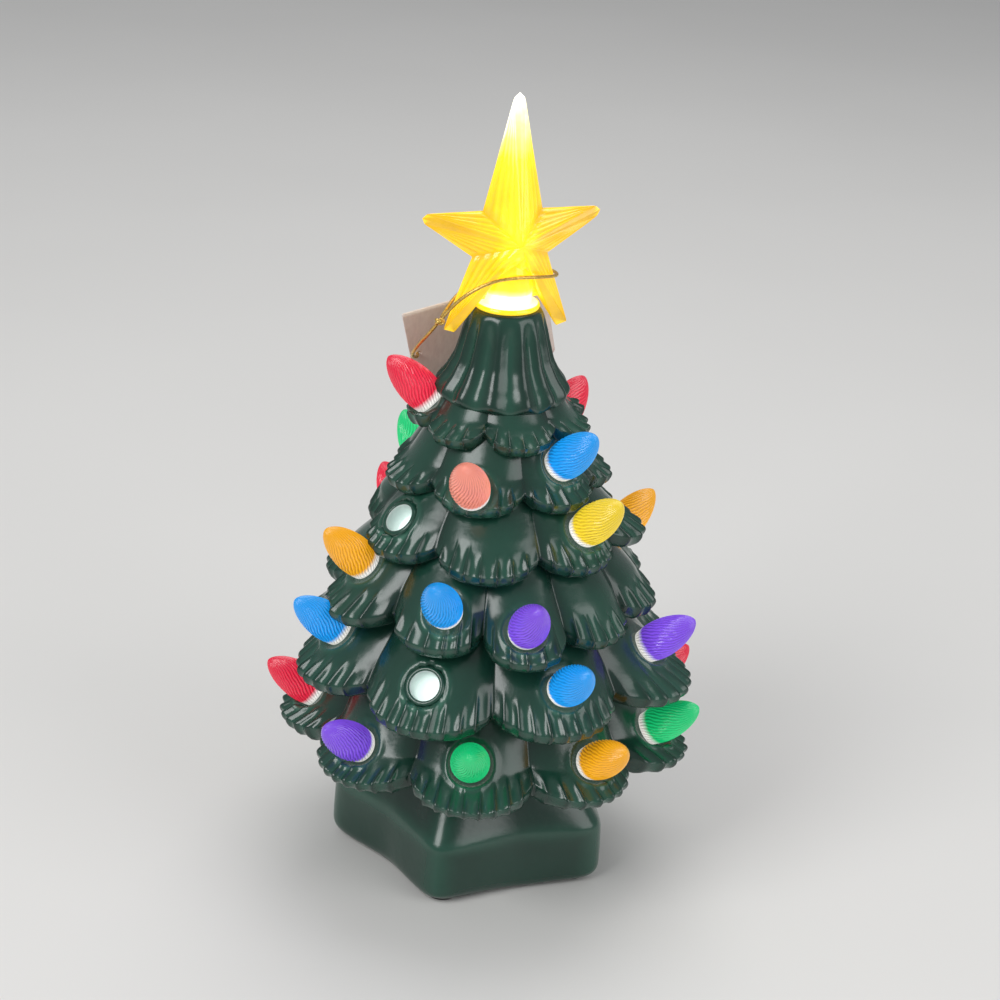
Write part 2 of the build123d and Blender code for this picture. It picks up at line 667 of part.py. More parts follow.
def make_wire_negative():
    """From the negative tab over the case's top to the switch's first pin."""
    return cord_tube(
        [
            (tab_x, -cell_offset, wire_height),
            (tab_x + WIRE_LEAD, -cell_offset, wire_height),
            (pin_far_x - PIN_RADIUS - WIRE_LEAD, SWITCH_ACROSS, wire_height),
            (pin_far_x - PIN_RADIUS, SWITCH_ACROSS, wire_height),
        ],
        WIRE_DIAMETER,
        "wire_negative",
    )


def make_wire_switched():
    """From the switch's second pin into the pedestal and up to the board."""
    return cord_tube(
        [
            (pin_near_x, SWITCH_ACROSS + PIN_RADIUS, wire_height),
            (pin_near_x, -WIRE_RISE_REACH, wire_height),
            (pin_near_x, -WIRE_RISE_REACH, board_bottom),
        ],
        WIRE_DIAMETER,
        "wire_switched",
    )


def star_form(scale):
    """The faceted star about its middle: a flat outline drawn out to a point in front and one behind."""
    half = [STAR_SPIKE, STAR_ARM, STAR_NOTCH, STAR_LEG_OUT, STAR_LEG_IN, STAR_CROTCH]
    outline = [(0, STAR_TIP), *half, *[(-x, z) for x, z in reversed(half)]]
    grown = [Vector(x * scale, 0, STAR_MIDDLE + (z - STAR_MIDDLE) * scale) for x, z in outline]
    face = Face(Wire.make_polygon(grown))
    front = loft([face, Vertex(0, -STAR_DEPTH * scale, STAR_MIDDLE)], ruled=True)
    back = loft([face, Vertex(0, STAR_DEPTH * scale, STAR_MIDDLE)], ruled=True)
    return front.fuse(back)


def make_star_topper():
    """The hollow star on its stem, with the flange that sits on the tree's top."""
    stem = drum(STEM_RADIUS, -STEM_INSERT, STEM_TOP)
    flange = drum(FLANGE_RADIUS, 0, FLANGE_HEIGHT)
    bore = drum(STEM_RADIUS - STEM_WALL, -STEM_INSERT, STEM_TOP - STEM_WALL)
    star = star_form(1.0).cut(star_form(STAR_HOLLOW)).fuse(stem, flange).cut(bore)
    return Pos(0, 0, TREE_TOP) * Rot(0, 0, STAR_YAW) * star


def tag_plane():
    """The hang tag's plane: X along its width, Y up it, Z out of its front face."""
    yaw = radians(TAG_YAW)
    lean = radians(TAG_LEAN)
    roll = radians(TAG_ROLL)
    width = Vector(cos(yaw), sin(yaw), 0)
    out = Vector(sin(yaw) * cos(lean), -cos(yaw) * cos(lean), -sin(lean))
    rise = out.cross(width)
    return Plane(TAG_MIDDLE, x_dir=width * cos(roll) + rise * sin(roll), z_dir=out)


def make_hang_tag():
    """A plain card with a punched hole, leaning on the boughs behind the crown."""
    card = Box(TAG_WIDTH, TAG_HEIGHT, TAG_THICKNESS)
    hole = Pos(*TAG_HOLE, 0) * Cylinder(TAG_HOLE_RADIUS, 2 * TAG_THICKNESS)
    return tag_plane() * card.cut(hole)


def off_knot(point):
    """The spot on the knot's surface that faces a point."""
    middle = Vector(*KNOT_MIDDLE)
    return tuple(middle + (Vector(*point) - middle).normalized() * KNOT_RADIUS)


def make_tag_cord():
    """The elastic cord: a tail from the knot through the tag's hole, and a loop round the star from knot to knot."""
    plane = tag_plane()
    hole = plane.from_local_coords(Vector(*TAG_HOLE, CORD_THROUGH))
    behind = plane.from_local_coords(Vector(*TAG_HOLE, -CORD_THROUGH))
    tail = cord_tube([off_knot(CORD_TAIL[0]), *CORD_TAIL, tuple(hole), tuple(behind)], CORD_DIAMETER, "cord tail")
    loop = cord_tube([off_knot(CORD_LOOP[0]), *CORD_LOOP, off_knot(CORD_LOOP[-1])], CORD_DIAMETER, "cord loop")
    return tail, loop


os.makedirs("parts", exist_ok=True)
courses, socket_rim_low, socket_rim_high = make_tree_shell()
cord_tail, cord_loop = make_tag_cord()
nodes = {f"shell_tier_{number}": course for number, course in enumerate(courses[:-1], start=1)}
nodes |= {
    "shell_top": courses[-1],
    "socket_rim_low": socket_rim_low,
    "socket_rim_high": socket_rim_high,
    "star_foot": make_star_foot(),
    "foot_pads": make_foot_pads(),
    "battery_case": make_battery_case(),
    "battery_door": make_battery_door(),
    "door_screw": make_door_screw(),
    "battery_cell_1": make_cell(1),
    "battery_cell_2": make_cell(-1),
    "contact_bridge": make_contact_bridge(),
    "contact_positive": make_contact_positive(),
    "contact_negative": make_contact_negative(),
    "switch_body": make_switch_body(),
    "switch_slider": make_switch_slider(),
    "lamp_pedestal": make_lamp_pedestal(),
    "led_board": make_led_board(),
    "led_chips": make_led_chips(),
    "diffuser_dome": make_diffuser_dome(),
    "wire_positive": make_wire_positive(),
    "wire_negative": make_wire_negative(),
    "wire_switched": make_wire_switched(),
    "star_topper": make_star_topper(),
    "hang_tag": make_hang_tag(),
    "cord_knot": Pos(*KNOT_MIDDLE) * Sphere(KNOT_RADIUS),
    "cord_tail": cord_tail,
    "cord_loop": cord_loop,
}
for number, tier in enumerate(TIERS, start=1):
    for k, turn in enumerate(tier.bulbs, start=1):
        nodes[f"bulb_{number}_{k}"] = make_bulb(number, turn)
for name, shape in nodes.items():
    solids = Compound(children=list(shape)) if isinstance(shape, list) else shape
    export_step(solids, f"parts/{name}.step")
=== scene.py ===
import math
from collections import namedtuple

import bpy
import numpy as np
from mathutils import Matrix


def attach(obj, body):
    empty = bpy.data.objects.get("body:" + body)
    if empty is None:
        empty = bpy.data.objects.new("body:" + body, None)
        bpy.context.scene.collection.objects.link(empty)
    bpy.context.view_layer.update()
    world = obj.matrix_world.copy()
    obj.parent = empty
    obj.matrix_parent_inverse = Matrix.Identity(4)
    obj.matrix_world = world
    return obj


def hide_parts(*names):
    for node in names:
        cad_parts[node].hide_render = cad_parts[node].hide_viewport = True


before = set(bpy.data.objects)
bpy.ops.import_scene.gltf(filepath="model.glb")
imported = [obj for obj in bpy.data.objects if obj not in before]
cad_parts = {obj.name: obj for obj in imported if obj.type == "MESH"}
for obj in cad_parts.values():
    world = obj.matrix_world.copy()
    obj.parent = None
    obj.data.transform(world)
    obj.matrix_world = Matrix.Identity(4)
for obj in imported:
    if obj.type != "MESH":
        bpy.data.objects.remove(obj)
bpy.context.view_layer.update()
scene = bpy.context.scene
scene.view_settings.view_transform = "Standard"


# Five rubber pads, punched from black sheet and glued under the points of the foot.
# They are CAD solids: only the matte, slightly grainy rubber is added here.

def new_finish(name, colour, roughness):
    """A material with one Principled shader: returns the material, its node tree and the shader."""
    finish = bpy.data.materials.new(name)
    finish.use_nodes = True
    tree = finish.node_tree
    shader = tree.nodes["Principled BSDF"]
    shader.inputs["Base Color"].default_value = (*colour, 1.0)
    shader.inputs["Roughness"].default_value = roughness
    return finish, tree, shader


def grain(tree, scale, detail=3.0, stretch=(1.0, 1.0, 1.0), source="Object"):
    """A noise value between 0 and 1 on Object or UV coordinates, stretched along the axes."""
    coords = tree.nodes.new("ShaderNodeTexCoord")
    turn = tree.nodes.new("ShaderNodeMapping")
    turn.inputs["Scale"].default_value = stretch
    noise = tree.nodes.new("ShaderNodeTexNoise")
    noise.inputs["Scale"].default_value = scale
    noise.inputs["Detail"].default_value = detail
    tree.links.new(coords.outputs[source], turn.inputs["Vector"])
    tree.links.new(turn.outputs["Vector"], noise.inputs["Vector"])
    return noise.outputs["Fac"]


def ramp(tree, value, stops):
    """Colours along a value: stops are (place, colour)."""
    node = tree.nodes.new("ShaderNodeValToRGB")
    band = node.color_ramp
    while len(band.elements) < len(stops):
        band.elements.new(0.5)
    for element, (place, colour) in zip(band.elements, stops):
        element.position = place
        element.color = (*colour, 1.0)
    tree.links.new(value, node.inputs["Fac"])
    return node.outputs["Color"]


def relief(tree, shader, height, strength, depth):
    """A bump of the given depth in metres on the shader's normal."""
    bump = tree.nodes.new("ShaderNodeBump")
    bump.inputs["Strength"].default_value = strength
    bump.inputs["Distance"].default_value = depth
    tree.links.new(height, bump.inputs["Height"])
    tree.links.new(bump.outputs["Normal"], shader.inputs["Normal"])


def mottle(tree, shader, value, dark, light):
    """A base colour from dark where the value is 0.3 or less to light where it is 0.7 or more."""
    tone = ramp(tree, value, [(0.3, dark), (0.7, light)])
    tree.links.new(tone, shader.inputs["Base Color"])


def dress(node, finish):
    """Gives a CAD node its finish."""
    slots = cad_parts[node].data.materials
    slots.clear()
    slots.append(finish)


rubber, tree, shader = new_finish("pad_rubber", (0.03, 0.03, 0.03), 0.8)
speck = grain(tree, 900.0)
mottle(tree, shader, speck, (0.022, 0.022, 0.022), (0.045, 0.045, 0.044))
relief(tree, shader, speck, 0.3, 0.0002)
dress("foot_pads", rubber)


# The slip-cast foot: a hollow five-pointed star with upright walls and a ridged roof under the tree.
# Glaze has rounded every edge, broken paler on the ridges and pooled darker in the corners.

def lattice(name, points, finish, close_rows=False, flip=False, values=None, uv=None):
    """A mesh on a grid of points (rows, columns, xyz) in metres. Columns close round; rows close if asked.
    values are named numbers for each point, and uv gives (columns' span, rows' span) of a UV map."""
    rows, columns = points.shape[:2]
    i = np.arange(rows if close_rows else rows - 1)
    j = np.arange(columns)
    ii, jj = np.meshgrid(i, j, indexing="ij")
    a = ii * columns + jj
    b = ii * columns + (jj + 1) % columns
    c = (ii + 1) % rows * columns + (jj + 1) % columns
    d = (ii + 1) % rows * columns + jj
    quads = np.stack([a, d, c, b] if flip else [a, b, c, d], -1).reshape(-1, 4)
    mesh = bpy.data.meshes.new(name)
    mesh.vertices.add(rows * columns)
    mesh.vertices.foreach_set("co", points.reshape(-1).astype(np.float32))
    mesh.loops.add(quads.size)
    mesh.loops.foreach_set("vertex_index", quads.reshape(-1).astype(np.int32))
    mesh.polygons.add(len(quads))
    mesh.polygons.foreach_set("loop_start", np.arange(0, quads.size, 4, dtype=np.int32))
    mesh.polygons.foreach_set("use_smooth", np.ones(len(quads), bool))
    if uv:
        corners_across = [jj, jj, jj + 1, jj + 1] if flip else [jj, jj + 1, jj + 1, jj]
        corners_down = [ii, ii + 1, ii + 1, ii] if flip else [ii, ii, ii + 1, ii + 1]
        across = np.stack(corners_across, -1) / columns * uv[0]
        down = np.stack(corners_down, -1) / rows * uv[1]
        layer = mesh.uv_layers.new(name="UVMap")
        layer.data.foreach_set("uv", np.stack([across, down], -1).reshape(-1).astype(np.float32))
    for label, numbers in (values or {}).items():
        attribute = mesh.attributes.new(label, "FLOAT", "POINT")
        spread_out = np.broadcast_to(numbers, (rows, columns)).reshape(-1)
        attribute.data.foreach_set("value", spread_out.astype(np.float32))
    mesh.update(calc_edges=True)
    mesh.validate()
    mesh.materials.append(finish)
    piece = bpy.data.objects.new(name, mesh)
    scene.collection.objects.link(piece)
    return piece


def soften(lines, rounds, fixed):
    """Rounds the corners of profiles: each pass moves every row, except fixed rows, towards the mean of
    its neighbours."""
    lines = lines.copy()
    free = np.ones(len(lines), bool)
    free[list(fixed)] = False
    for _ in range(rounds):
        mean = (np.roll(lines, 1, 0) + 2 * lines + np.roll(lines, -1, 0)) / 4
        lines[free] = mean[free]
    return lines


def along_rings(rings, counts):
    """Rows between rings: counts[k] straight steps from ring k to the next, and back to the first."""
    rows = []
    for k, count in enumerate(counts):
        step = np.linspace(0, 1, count, endpoint=False)[:, None, None]
        rows.append(rings[k] * (1 - step) + rings[(k + 1) % len(rings)] * step)
    return np.concatenate(rows)


def smooth_round(reach, width):
    """A closed line of distances, blurred round the circle by a bell of the given width in columns."""
    k = np.arange(-3 * width, 3 * width + 1)
    bell = np.exp(-(k / width) ** 2 / 2)
    bell /= bell.sum()
    return sum(weight * np.roll(reach, shift) for weight, shift in zip(bell, k))


def unit(vectors):
    """Vectors brought to length 1; one of no length stays so."""
    return vectors / np.maximum(np.linalg.norm(vectors, axis=-1, keepdims=True), 1e-9)


def surface_normals(points):
    """Unit normals of a grid whose columns close round, from the differences of neighbours."""
    down = np.gradient(points, axis=0)
    across = (np.roll(points, -1, 1) - np.roll(points, 1, 1)) / 2
    return unit(np.cross(across, down))


def painted(tree, label):
    """The number that the mesh carries at each point under a label."""
    node = tree.nodes.new("ShaderNodeAttribute")
    node.attribute_name = label
    return node.outputs["Fac"]


def scaled_sum(tree, value, factor, added):
    """A value times a factor, plus what is added: another value or a plain number."""
    node = tree.nodes.new("ShaderNodeMath")
    node.operation = "MULTIPLY_ADD"
    node.inputs[1].default_value = factor
    tree.links.new(value, node.inputs[0])
    if isinstance(added, float):
        node.inputs[2].default_value = added
    else:
        tree.links.new(added, node.inputs[2])
    return node.outputs["Value"]


# The glaze's colour follows a number on each mesh. It is paler where the glaze breaks thin on needle ribs,
# rims and edges. On the tiers and crown it also carries painted light: a painted highlight on the swell of
# each bough, and painted shade, darkest, under the boughs, inside the tiers, between boughs, in the crown's
# bore and under its hem.
glaze, tree, shader = new_finish("green_glaze", (0.01, 0.05, 0.033), 0.24)
green = ramp(
    tree,
    scaled_sum(tree, grain(tree, 70.0, 4.0), 0.3, painted(tree, "glaze_break_and_painted_light")),
    [
        (0.1, (0.003, 0.019, 0.013)),
        (0.45, (0.008, 0.048, 0.031)),
        (0.8, (0.017, 0.086, 0.056)),
        (1.0, (0.05, 0.16, 0.11)),
    ],
)
tree.links.new(green, shader.inputs["Base Color"])
relief(tree, shader, grain(tree, 260.0, 2.0), 0.18, 0.0006)
shader.inputs["Coat Weight"].default_value = 0.3
shader.inputs["Coat Roughness"].default_value = 0.17

mm = 0.001
foot_turn = math.radians(-104.0)
tenth = math.pi / 5
turns = np.linspace(0, 2 * math.pi, 480, endpoint=False)


def star_reach(tip, valley, blur=6):
    """Distance from the axis of a five-pointed outline: a straight line from tip to valley in each tenth
    of a turn, blurred."""
    inside = np.abs((turns - foot_turn + tenth) % (2 * tenth) - tenth)
    line = tip * valley * math.sin(tenth) / (tip * np.sin(inside) + valley * np.sin(tenth - inside))
    return smooth_round(line, blur)


def star_ring(height, tip, valley, blur=6):
    """One level of the foot as points, in millimetres."""
    reach = star_reach(tip, valley, blur)
    return np.stack([reach * np.cos(turns), reach * np.sin(turns), np.full_like(turns, height)], -1)


def round_ring(height, reach, around):
    """A circle as points, in millimetres."""
    return np.stack([reach * np.cos(around), reach * np.sin(around), np.full_like(around, height)], -1)


foot_top, collar_top, foot_bottom = 41.5, 48.5, 1.5
collar_inside, collar_outside = 18.0, 22.0
foot_rings = [
    round_ring(foot_top, collar_outside, turns),
    star_ring(foot_top, 29.5, 26.5, 10),
    star_ring(34.0, 35.5, 29.4, 8),
    star_ring(24.0, 42.6, 33.2),
    star_ring(19.5, 46.6, 34.8),
    star_ring(4.0, 47.0, 35.0),
    star_ring(foot_bottom, 45.4, 34.0),
    round_ring(foot_bottom, 31.0, turns),
    round_ring(4.7, 30.9, turns),
    round_ring(4.7, 28.4, turns),
    round_ring(7.5, 28.4, turns),
    star_ring(17.0, 37.0, 29.5),
    star_ring(36.0, 23.0, 22.5),
    round_ring(37.0, collar_inside, turns),
    round_ring(collar_top, collar_inside, turns),
    round_ring(collar_top, collar_outside, turns),
]
foot_counts = [6, 8, 8, 6, 14, 5, 6, 3, 2, 3, 5, 8, 3, 6, 3, 5]
outer_bands = 6
ridge_width = 0.16
shoulder_height, shoulder_width = 20.0, 2.6
foot_grid = soften(along_rings(foot_rings, foot_counts), 3, [0])
wobble = 0.25 * np.sin(3 * turns + 1.0) + 0.2 * np.sin(7 * turns + foot_grid[..., 2] * 0.15)
outer_rows = np.arange(len(foot_grid))[:, None] < sum(foot_counts[:outer_bands])
foot_grid = foot_grid + surface_normals(foot_grid) * (wobble * outer_rows)[..., None]
from_ridge = np.abs((turns - foot_turn + tenth) % (2 * tenth) - tenth)
on_ridge = np.clip(1 - from_ridge / ridge_width, 0, 1)
near_shoulder = np.exp(-((foot_grid[..., 2] - shoulder_height) / shoulder_width) ** 2)
foot = lattice(
    "foot_casting",
    foot_grid * mm,
    glaze,
    close_rows=True,
    values={"glaze_break_and_painted_light": 0.2 + 0.35 * np.maximum(on_ridge[None, :] * outer_rows, near_shoulder)},
)
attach(foot, "foot")
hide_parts("star_foot")


# The battery case: white moulded plastic that closes the underside, with its door, screw, cells and switch.
# All are CAD solids, hidden at rest: only the grain of plastic, plated metal or plain wrap is added.

white_case, tree, shader = new_finish("case_plastic", (0.72, 0.72, 0.7), 0.5)
speck = grain(tree, 1400.0, 2.0)
mottle(tree, shader, speck, (0.68, 0.68, 0.66), (0.76, 0.76, 0.74))
relief(tree, shader, speck, 0.25, 0.0001)
for node in ("battery_case", "battery_door", "lamp_pedestal"):
    dress(node, white_case)

steel, tree, shader = new_finish("plated_steel", (0.6, 0.59, 0.57), 0.3)
shader.inputs["Metallic"].default_value = 1.0
brushed = grain(tree, 300.0, 2.0, stretch=(1.0, 12.0, 12.0))
mottle(tree, shader, brushed, (0.5, 0.5, 0.49), (0.7, 0.69, 0.67))
for node in ("door_screw", "contact_bridge", "contact_positive", "contact_negative"):
    dress(node, steel)

wrap, tree, shader = new_finish("cell_wrap", (0.03, 0.03, 0.035), 0.3)
band = grain(tree, 60.0, 1.0, stretch=(1.0, 0.05, 0.05))
banded = ramp(tree, band, [(0.45, (0.025, 0.026, 0.03)), (0.55, (0.06, 0.062, 0.07))])
tree.links.new(banded, shader.inputs["Base Color"])
for node in ("battery_cell_1", "battery_cell_2"):
    dress(node, wrap)

black_plastic, tree, shader = new_finish("switch_plastic", (0.03, 0.03, 0.03), 0.4)
mottle(tree, shader, grain(tree, 1200.0, 2.0), (0.024, 0.024, 0.025), (0.042, 0.042, 0.044))
for node in ("switch_body", "switch_slider"):
    dress(node, black_plastic)

wire_colours = {
    "wire_positive": (0.45, 0.02, 0.02),
    "wire_negative": (0.02, 0.02, 0.02),
    "wire_switched": (0.02, 0.02, 0.02),
}
for node, colour in wire_colours.items():
    sheath, tree, shader = new_finish(node + "_sheath", colour, 0.4)
    dull = tuple(0.7 * v for v in colour)
    mottle(tree, shader, grain(tree, 500.0), dull, colour)
    dress(node, sheath)


# The lamp that stands up into the tree: a white board with three light-emitting chips under a milky dome.
# The chips and the dome give off their own warm white light.

mask_white, tree, shader = new_finish("board_mask", (0.75, 0.75, 0.75), 0.35)
mottle(tree, shader, grain(tree, 200.0), (0.7, 0.7, 0.71), (0.8, 0.8, 0.8))
dress("led_board", mask_white)
for node, strength in (("led_chips", 3.0), ("diffuser_dome", 0.55)):
    milky, tree, shader = new_finish(node + "_light", (0.85, 0.83, 0.78), 0.35)
    warm_white = ramp(tree, grain(tree, 120.0), [(0.3, (1.0, 0.9, 0.72)), (0.7, (1.0, 0.95, 0.82))])
    tree.links.new(warm_white, shader.inputs["Emission Color"])
    shader.inputs["Emission Strength"].default_value = strength
    dress(node, milky)


# The tree itself: one slip-cast shell of six tiers of drooping boughs, glazed dark green.
# Each bough is a paw of needles, most with a punched socket, and deep gaps part the boughs and the tiers.

# Height and reach of the lower lip, reach and height of the sockets, reach at the top, tilt of the sockets;
# then the directions of the boughs that hold a bulb, an empty socket or neither, in degrees.
Tier = namedtuple("Tier", "edge reach seat_reach seat top_reach tilt bulbs empty plain")
tiers = [
    Tier(foot_top, 63.0, 52.7, 52.0, 40.0, 36, (16, 57, 98, 140, 187.5, 227.5, 267.5, 309.5, 343), (), ()),
    Tier(64.0, 60.5, 50.8, 78.0, 34.0, 40, (70.4, 115.4, 204, 297.5, 344), (250.4,), (25.4, 160.4)),
    Tier(86.0, 51.0, 43.9, 99.0, 28.5, 45, (28.9, 62, 95, 128, 206.5, 253.9, 284), (), (174, 317, 352)),
    Tier(106.5, 43.0, 35.3, 118.5, 22.0, 45, (75, 127, 319.4), (217.2,), (0, 38, 172, 268)),
    Tier(123.5, 34.5, 27.5, 133.6, 18.0, 45, (51, 106, 257.6, 318), (), (3, 158, 201)),
    Tier(140.0, 27.5, 21.4, 148.0, 14.0, 45, (183.6,), (), (28, 80, 132, 232, 287, 345)),
]
long_boughs = {
    (1, 343): 3.0,
    (2, 344): 4.5,
    (3, 206.5): 3.0,
    (3, 284): 5.0,
    (4, 0): 3.0,
    (4, 172): -5.0,
    (5, 158): -3.0,
}
moved_sockets = {
    (1, 267.5): -3.0,
    (1, 343): 1.5,
    (2, 204): -2.0,
    (3, 128): 3.5,
    (3, 206.5): -2.0,
    (3, 284): 2.5,
    (4, 127): 3.0,
    (5, 257.6): 3.0,
    (5, 318): -2.5,
}
wall = 4.5
edge_round = 3.5
edge_tuck = 2.5
tier_overlap = 2.5
lip_valley, seat_valley, top_valley = 0.82, 0.89, 0.98
crown_foot = 150.0
mouth_reach, hollow_reach = 22.5, 45.5
bough_lift, bough_swell = 3.0, 1.1
needle_width, needle_relief, needle_droop = 4.6, 1.15, 1.3
joint_rise, joint_sink = 4.0, 1.5
socket_span = 9.0
seat_depth, seat_flat = 1.5, 5.9
rim_reach, rim_width, rim_height = 7.3, 0.9, 0.45
hole_reach, hole_depth = 5.5, 8.0
bulb_room = 6.3


def lobed_ring(height, valley, tips, azimuths, around):
    """A level of boughs: each bough is an arc of a circle through its tip and the two valleys beside it.
    Returns the points, the bough at each column, and the place across it from -1 to 1."""
    order = np.argsort(azimuths)
    middle = np.radians(np.asarray(azimuths, float)[order])
    tip = np.asarray(tips, float)[order]
    after = np.append(middle[1:], middle[0] + 2 * math.pi)
    border = (middle + after) / 2
    spin = (around - border[-1]) % (2 * math.pi) + border[-1] - 2 * math.pi
    spin = np.where(spin >= border[-1], spin - 2 * math.pi, spin)
    bough = np.searchsorted(border, spin) % len(middle)
    before = np.append(border[-1] - 2 * math.pi, border[:-1])
    left, right = before[bough], border[bough]
    centre = middle[bough]
    across = np.where(spin > centre, (spin - centre) / (right - centre), (spin - centre) / (centre - left))
    ax, ay = valley * np.cos(left), valley * np.sin(left)
    bx, by = tip[bough] * np.cos(centre), tip[bough] * np.sin(centre)
    cx, cy = valley * np.cos(right), valley * np.sin(right)
    d = 2 * (ax * (by - cy) + bx * (cy - ay) + cx * (ay - by))
    a2, b2, c2 = ax**2 + ay**2, bx**2 + by**2, cx**2 + cy**2
    ox = (a2 * (by - cy) + b2 * (cy - ay) + c2 * (ay - by)) / d
    oy = (a2 * (cx - bx) + b2 * (ax - cx) + c2 * (bx - ax)) / d
    radius2 = (ax - ox) ** 2 + (ay - oy) ** 2
    ex, ey = np.cos(around), np.sin(around)
    dot = ox * ex + oy * ey
    reach = dot + np.sqrt(np.maximum(radius2 - ox**2 - oy**2 + dot**2, 0))
    return np.stack([reach * ex, reach * ey, np.full_like(around, height)], -1), order[bough], across


def socket_frame(number, azimuth):
    """The middle of a socket's seat in millimetres, and the way its bulb points, outwards and tilted up."""
    edge, reach, seat_reach, seat, _, tilt = tiers[number - 1][:6]
    slip = moved_sockets.get((number, azimuth), 0.0)
    fall = (seat - edge - edge_round) / (reach - seat_reach)
    turn, tilt = math.radians(azimuth), math.radians(tilt)
    out = np.array([math.cos(tilt) * math.cos(turn), math.cos(tilt) * math.sin(turn), math.sin(tilt)])
    r = seat_reach + slip
    surface = np.array([r * math.cos(turn), r * math.sin(turn), seat - slip * fall])
    return surface - seat_depth * out, out


def chance(*numbers):
    """A fixed pseudo-random number between 0 and 1 for whole numbers, as the fraction of a large sine."""
    total = sum(n * w for n, w in zip(numbers, (12.9898, 78.233, 37.719)))
    return np.modf(np.abs(np.sin(total) * 43758.5453))[0]


def ease(value, low, high):
    """0 below low, 1 above high, and a smooth step between."""
    t = np.clip((value - low) / (high - low), 0, 1)
    return t * t * (3 - 2 * t)


around = np.linspace(0, 2 * math.pi, 640, endpoint=False)


def tier_surface(number, azimuths):
    """A tier without needles, as rows from its top down the outside, round the lip and back up inside.
    Returns the rows, how many of them lie outside, and the bough and the place across it at each column."""
    edge, reach, seat_reach, seat, top_reach = tiers[number - 1][:5]
    top = (tiers[number].edge if number < len(tiers) else crown_foot) + wall + tier_overlap
    top_tips = np.full(len(azimuths), top_reach)
    seat_tips = np.full(len(azimuths), seat_reach)
    lip_tips = reach + np.array([long_boughs.get((number, a), 0.0) for a in azimuths])
    ring_top, bough, across = lobed_ring(top, top_reach * top_valley, top_tips, azimuths, around)
    ring_seat = lobed_ring(seat, seat_reach * seat_valley, seat_tips, azimuths, around)[0]
    ring_lip = lobed_ring(edge + edge_round, reach * lip_valley, lip_tips, azimuths, around)[0]
    low_valley = reach * lip_valley - edge_tuck
    ring_low = lobed_ring(edge, low_valley, lip_tips - edge_tuck, azimuths, around)[0]
    lift = bough_lift * np.abs(across) ** 3
    ring_lip[:, 2] += lift
    if number == 1:
        inside = [
            round_ring(edge, mouth_reach, around),
            round_ring(edge + wall, mouth_reach, around),
            round_ring(edge + wall, hollow_reach, around),
        ]
        counts = [16, 22, 5, 10, 3, 8, 8, 3]
    else:
        ring_low[:, 2] += lift
        below = tiers[number - 2]
        share = (edge + wall - below.seat) / (edge + wall + tier_overlap - below.seat)
        meet = below.seat_reach + (below.top_reach - below.seat_reach) * share
        inside = [round_ring(edge + joint_rise, min(meet, low_valley) - joint_sink, around)]
        counts = [16, 24, 5, 7, 8, 3]
    inside.append(round_ring(top, top_reach - wall, around))
    outer_count = sum(counts[:3])
    grid = along_rings([ring_top, ring_seat, ring_lip, ring_low] + inside, counts)
    grid = soften(grid, 4, [0, *range(outer_count + counts[3], len(grid))])
    return grid, outer_count, bough, across


def needles_across(azimuths, reach):
    """How many needles each bough has: its width, halfway to both neighbours, over that of a needle."""
    sorted_turns = np.sort(np.asarray(azimuths, float))
    gap_after = np.append(sorted_turns[1:], sorted_turns[0] + 360) - sorted_turns
    rank = np.argsort(np.argsort(azimuths))
    width = np.radians((gap_after + np.roll(gap_after, 1)) / 2)[rank] * reach
    return np.maximum(4, np.round(width / needle_width))


def about_socket(grid, number, azimuth):
    """How points lie to a socket: its axis, their height along it, and their way and distance from it."""
    middle, out = socket_frame(number, azimuth)
    offset = grid - middle
    high = offset @ out
    side_way = offset - high[..., None] * out
    return out, high, side_way, np.linalg.norm(side_way, axis=2)


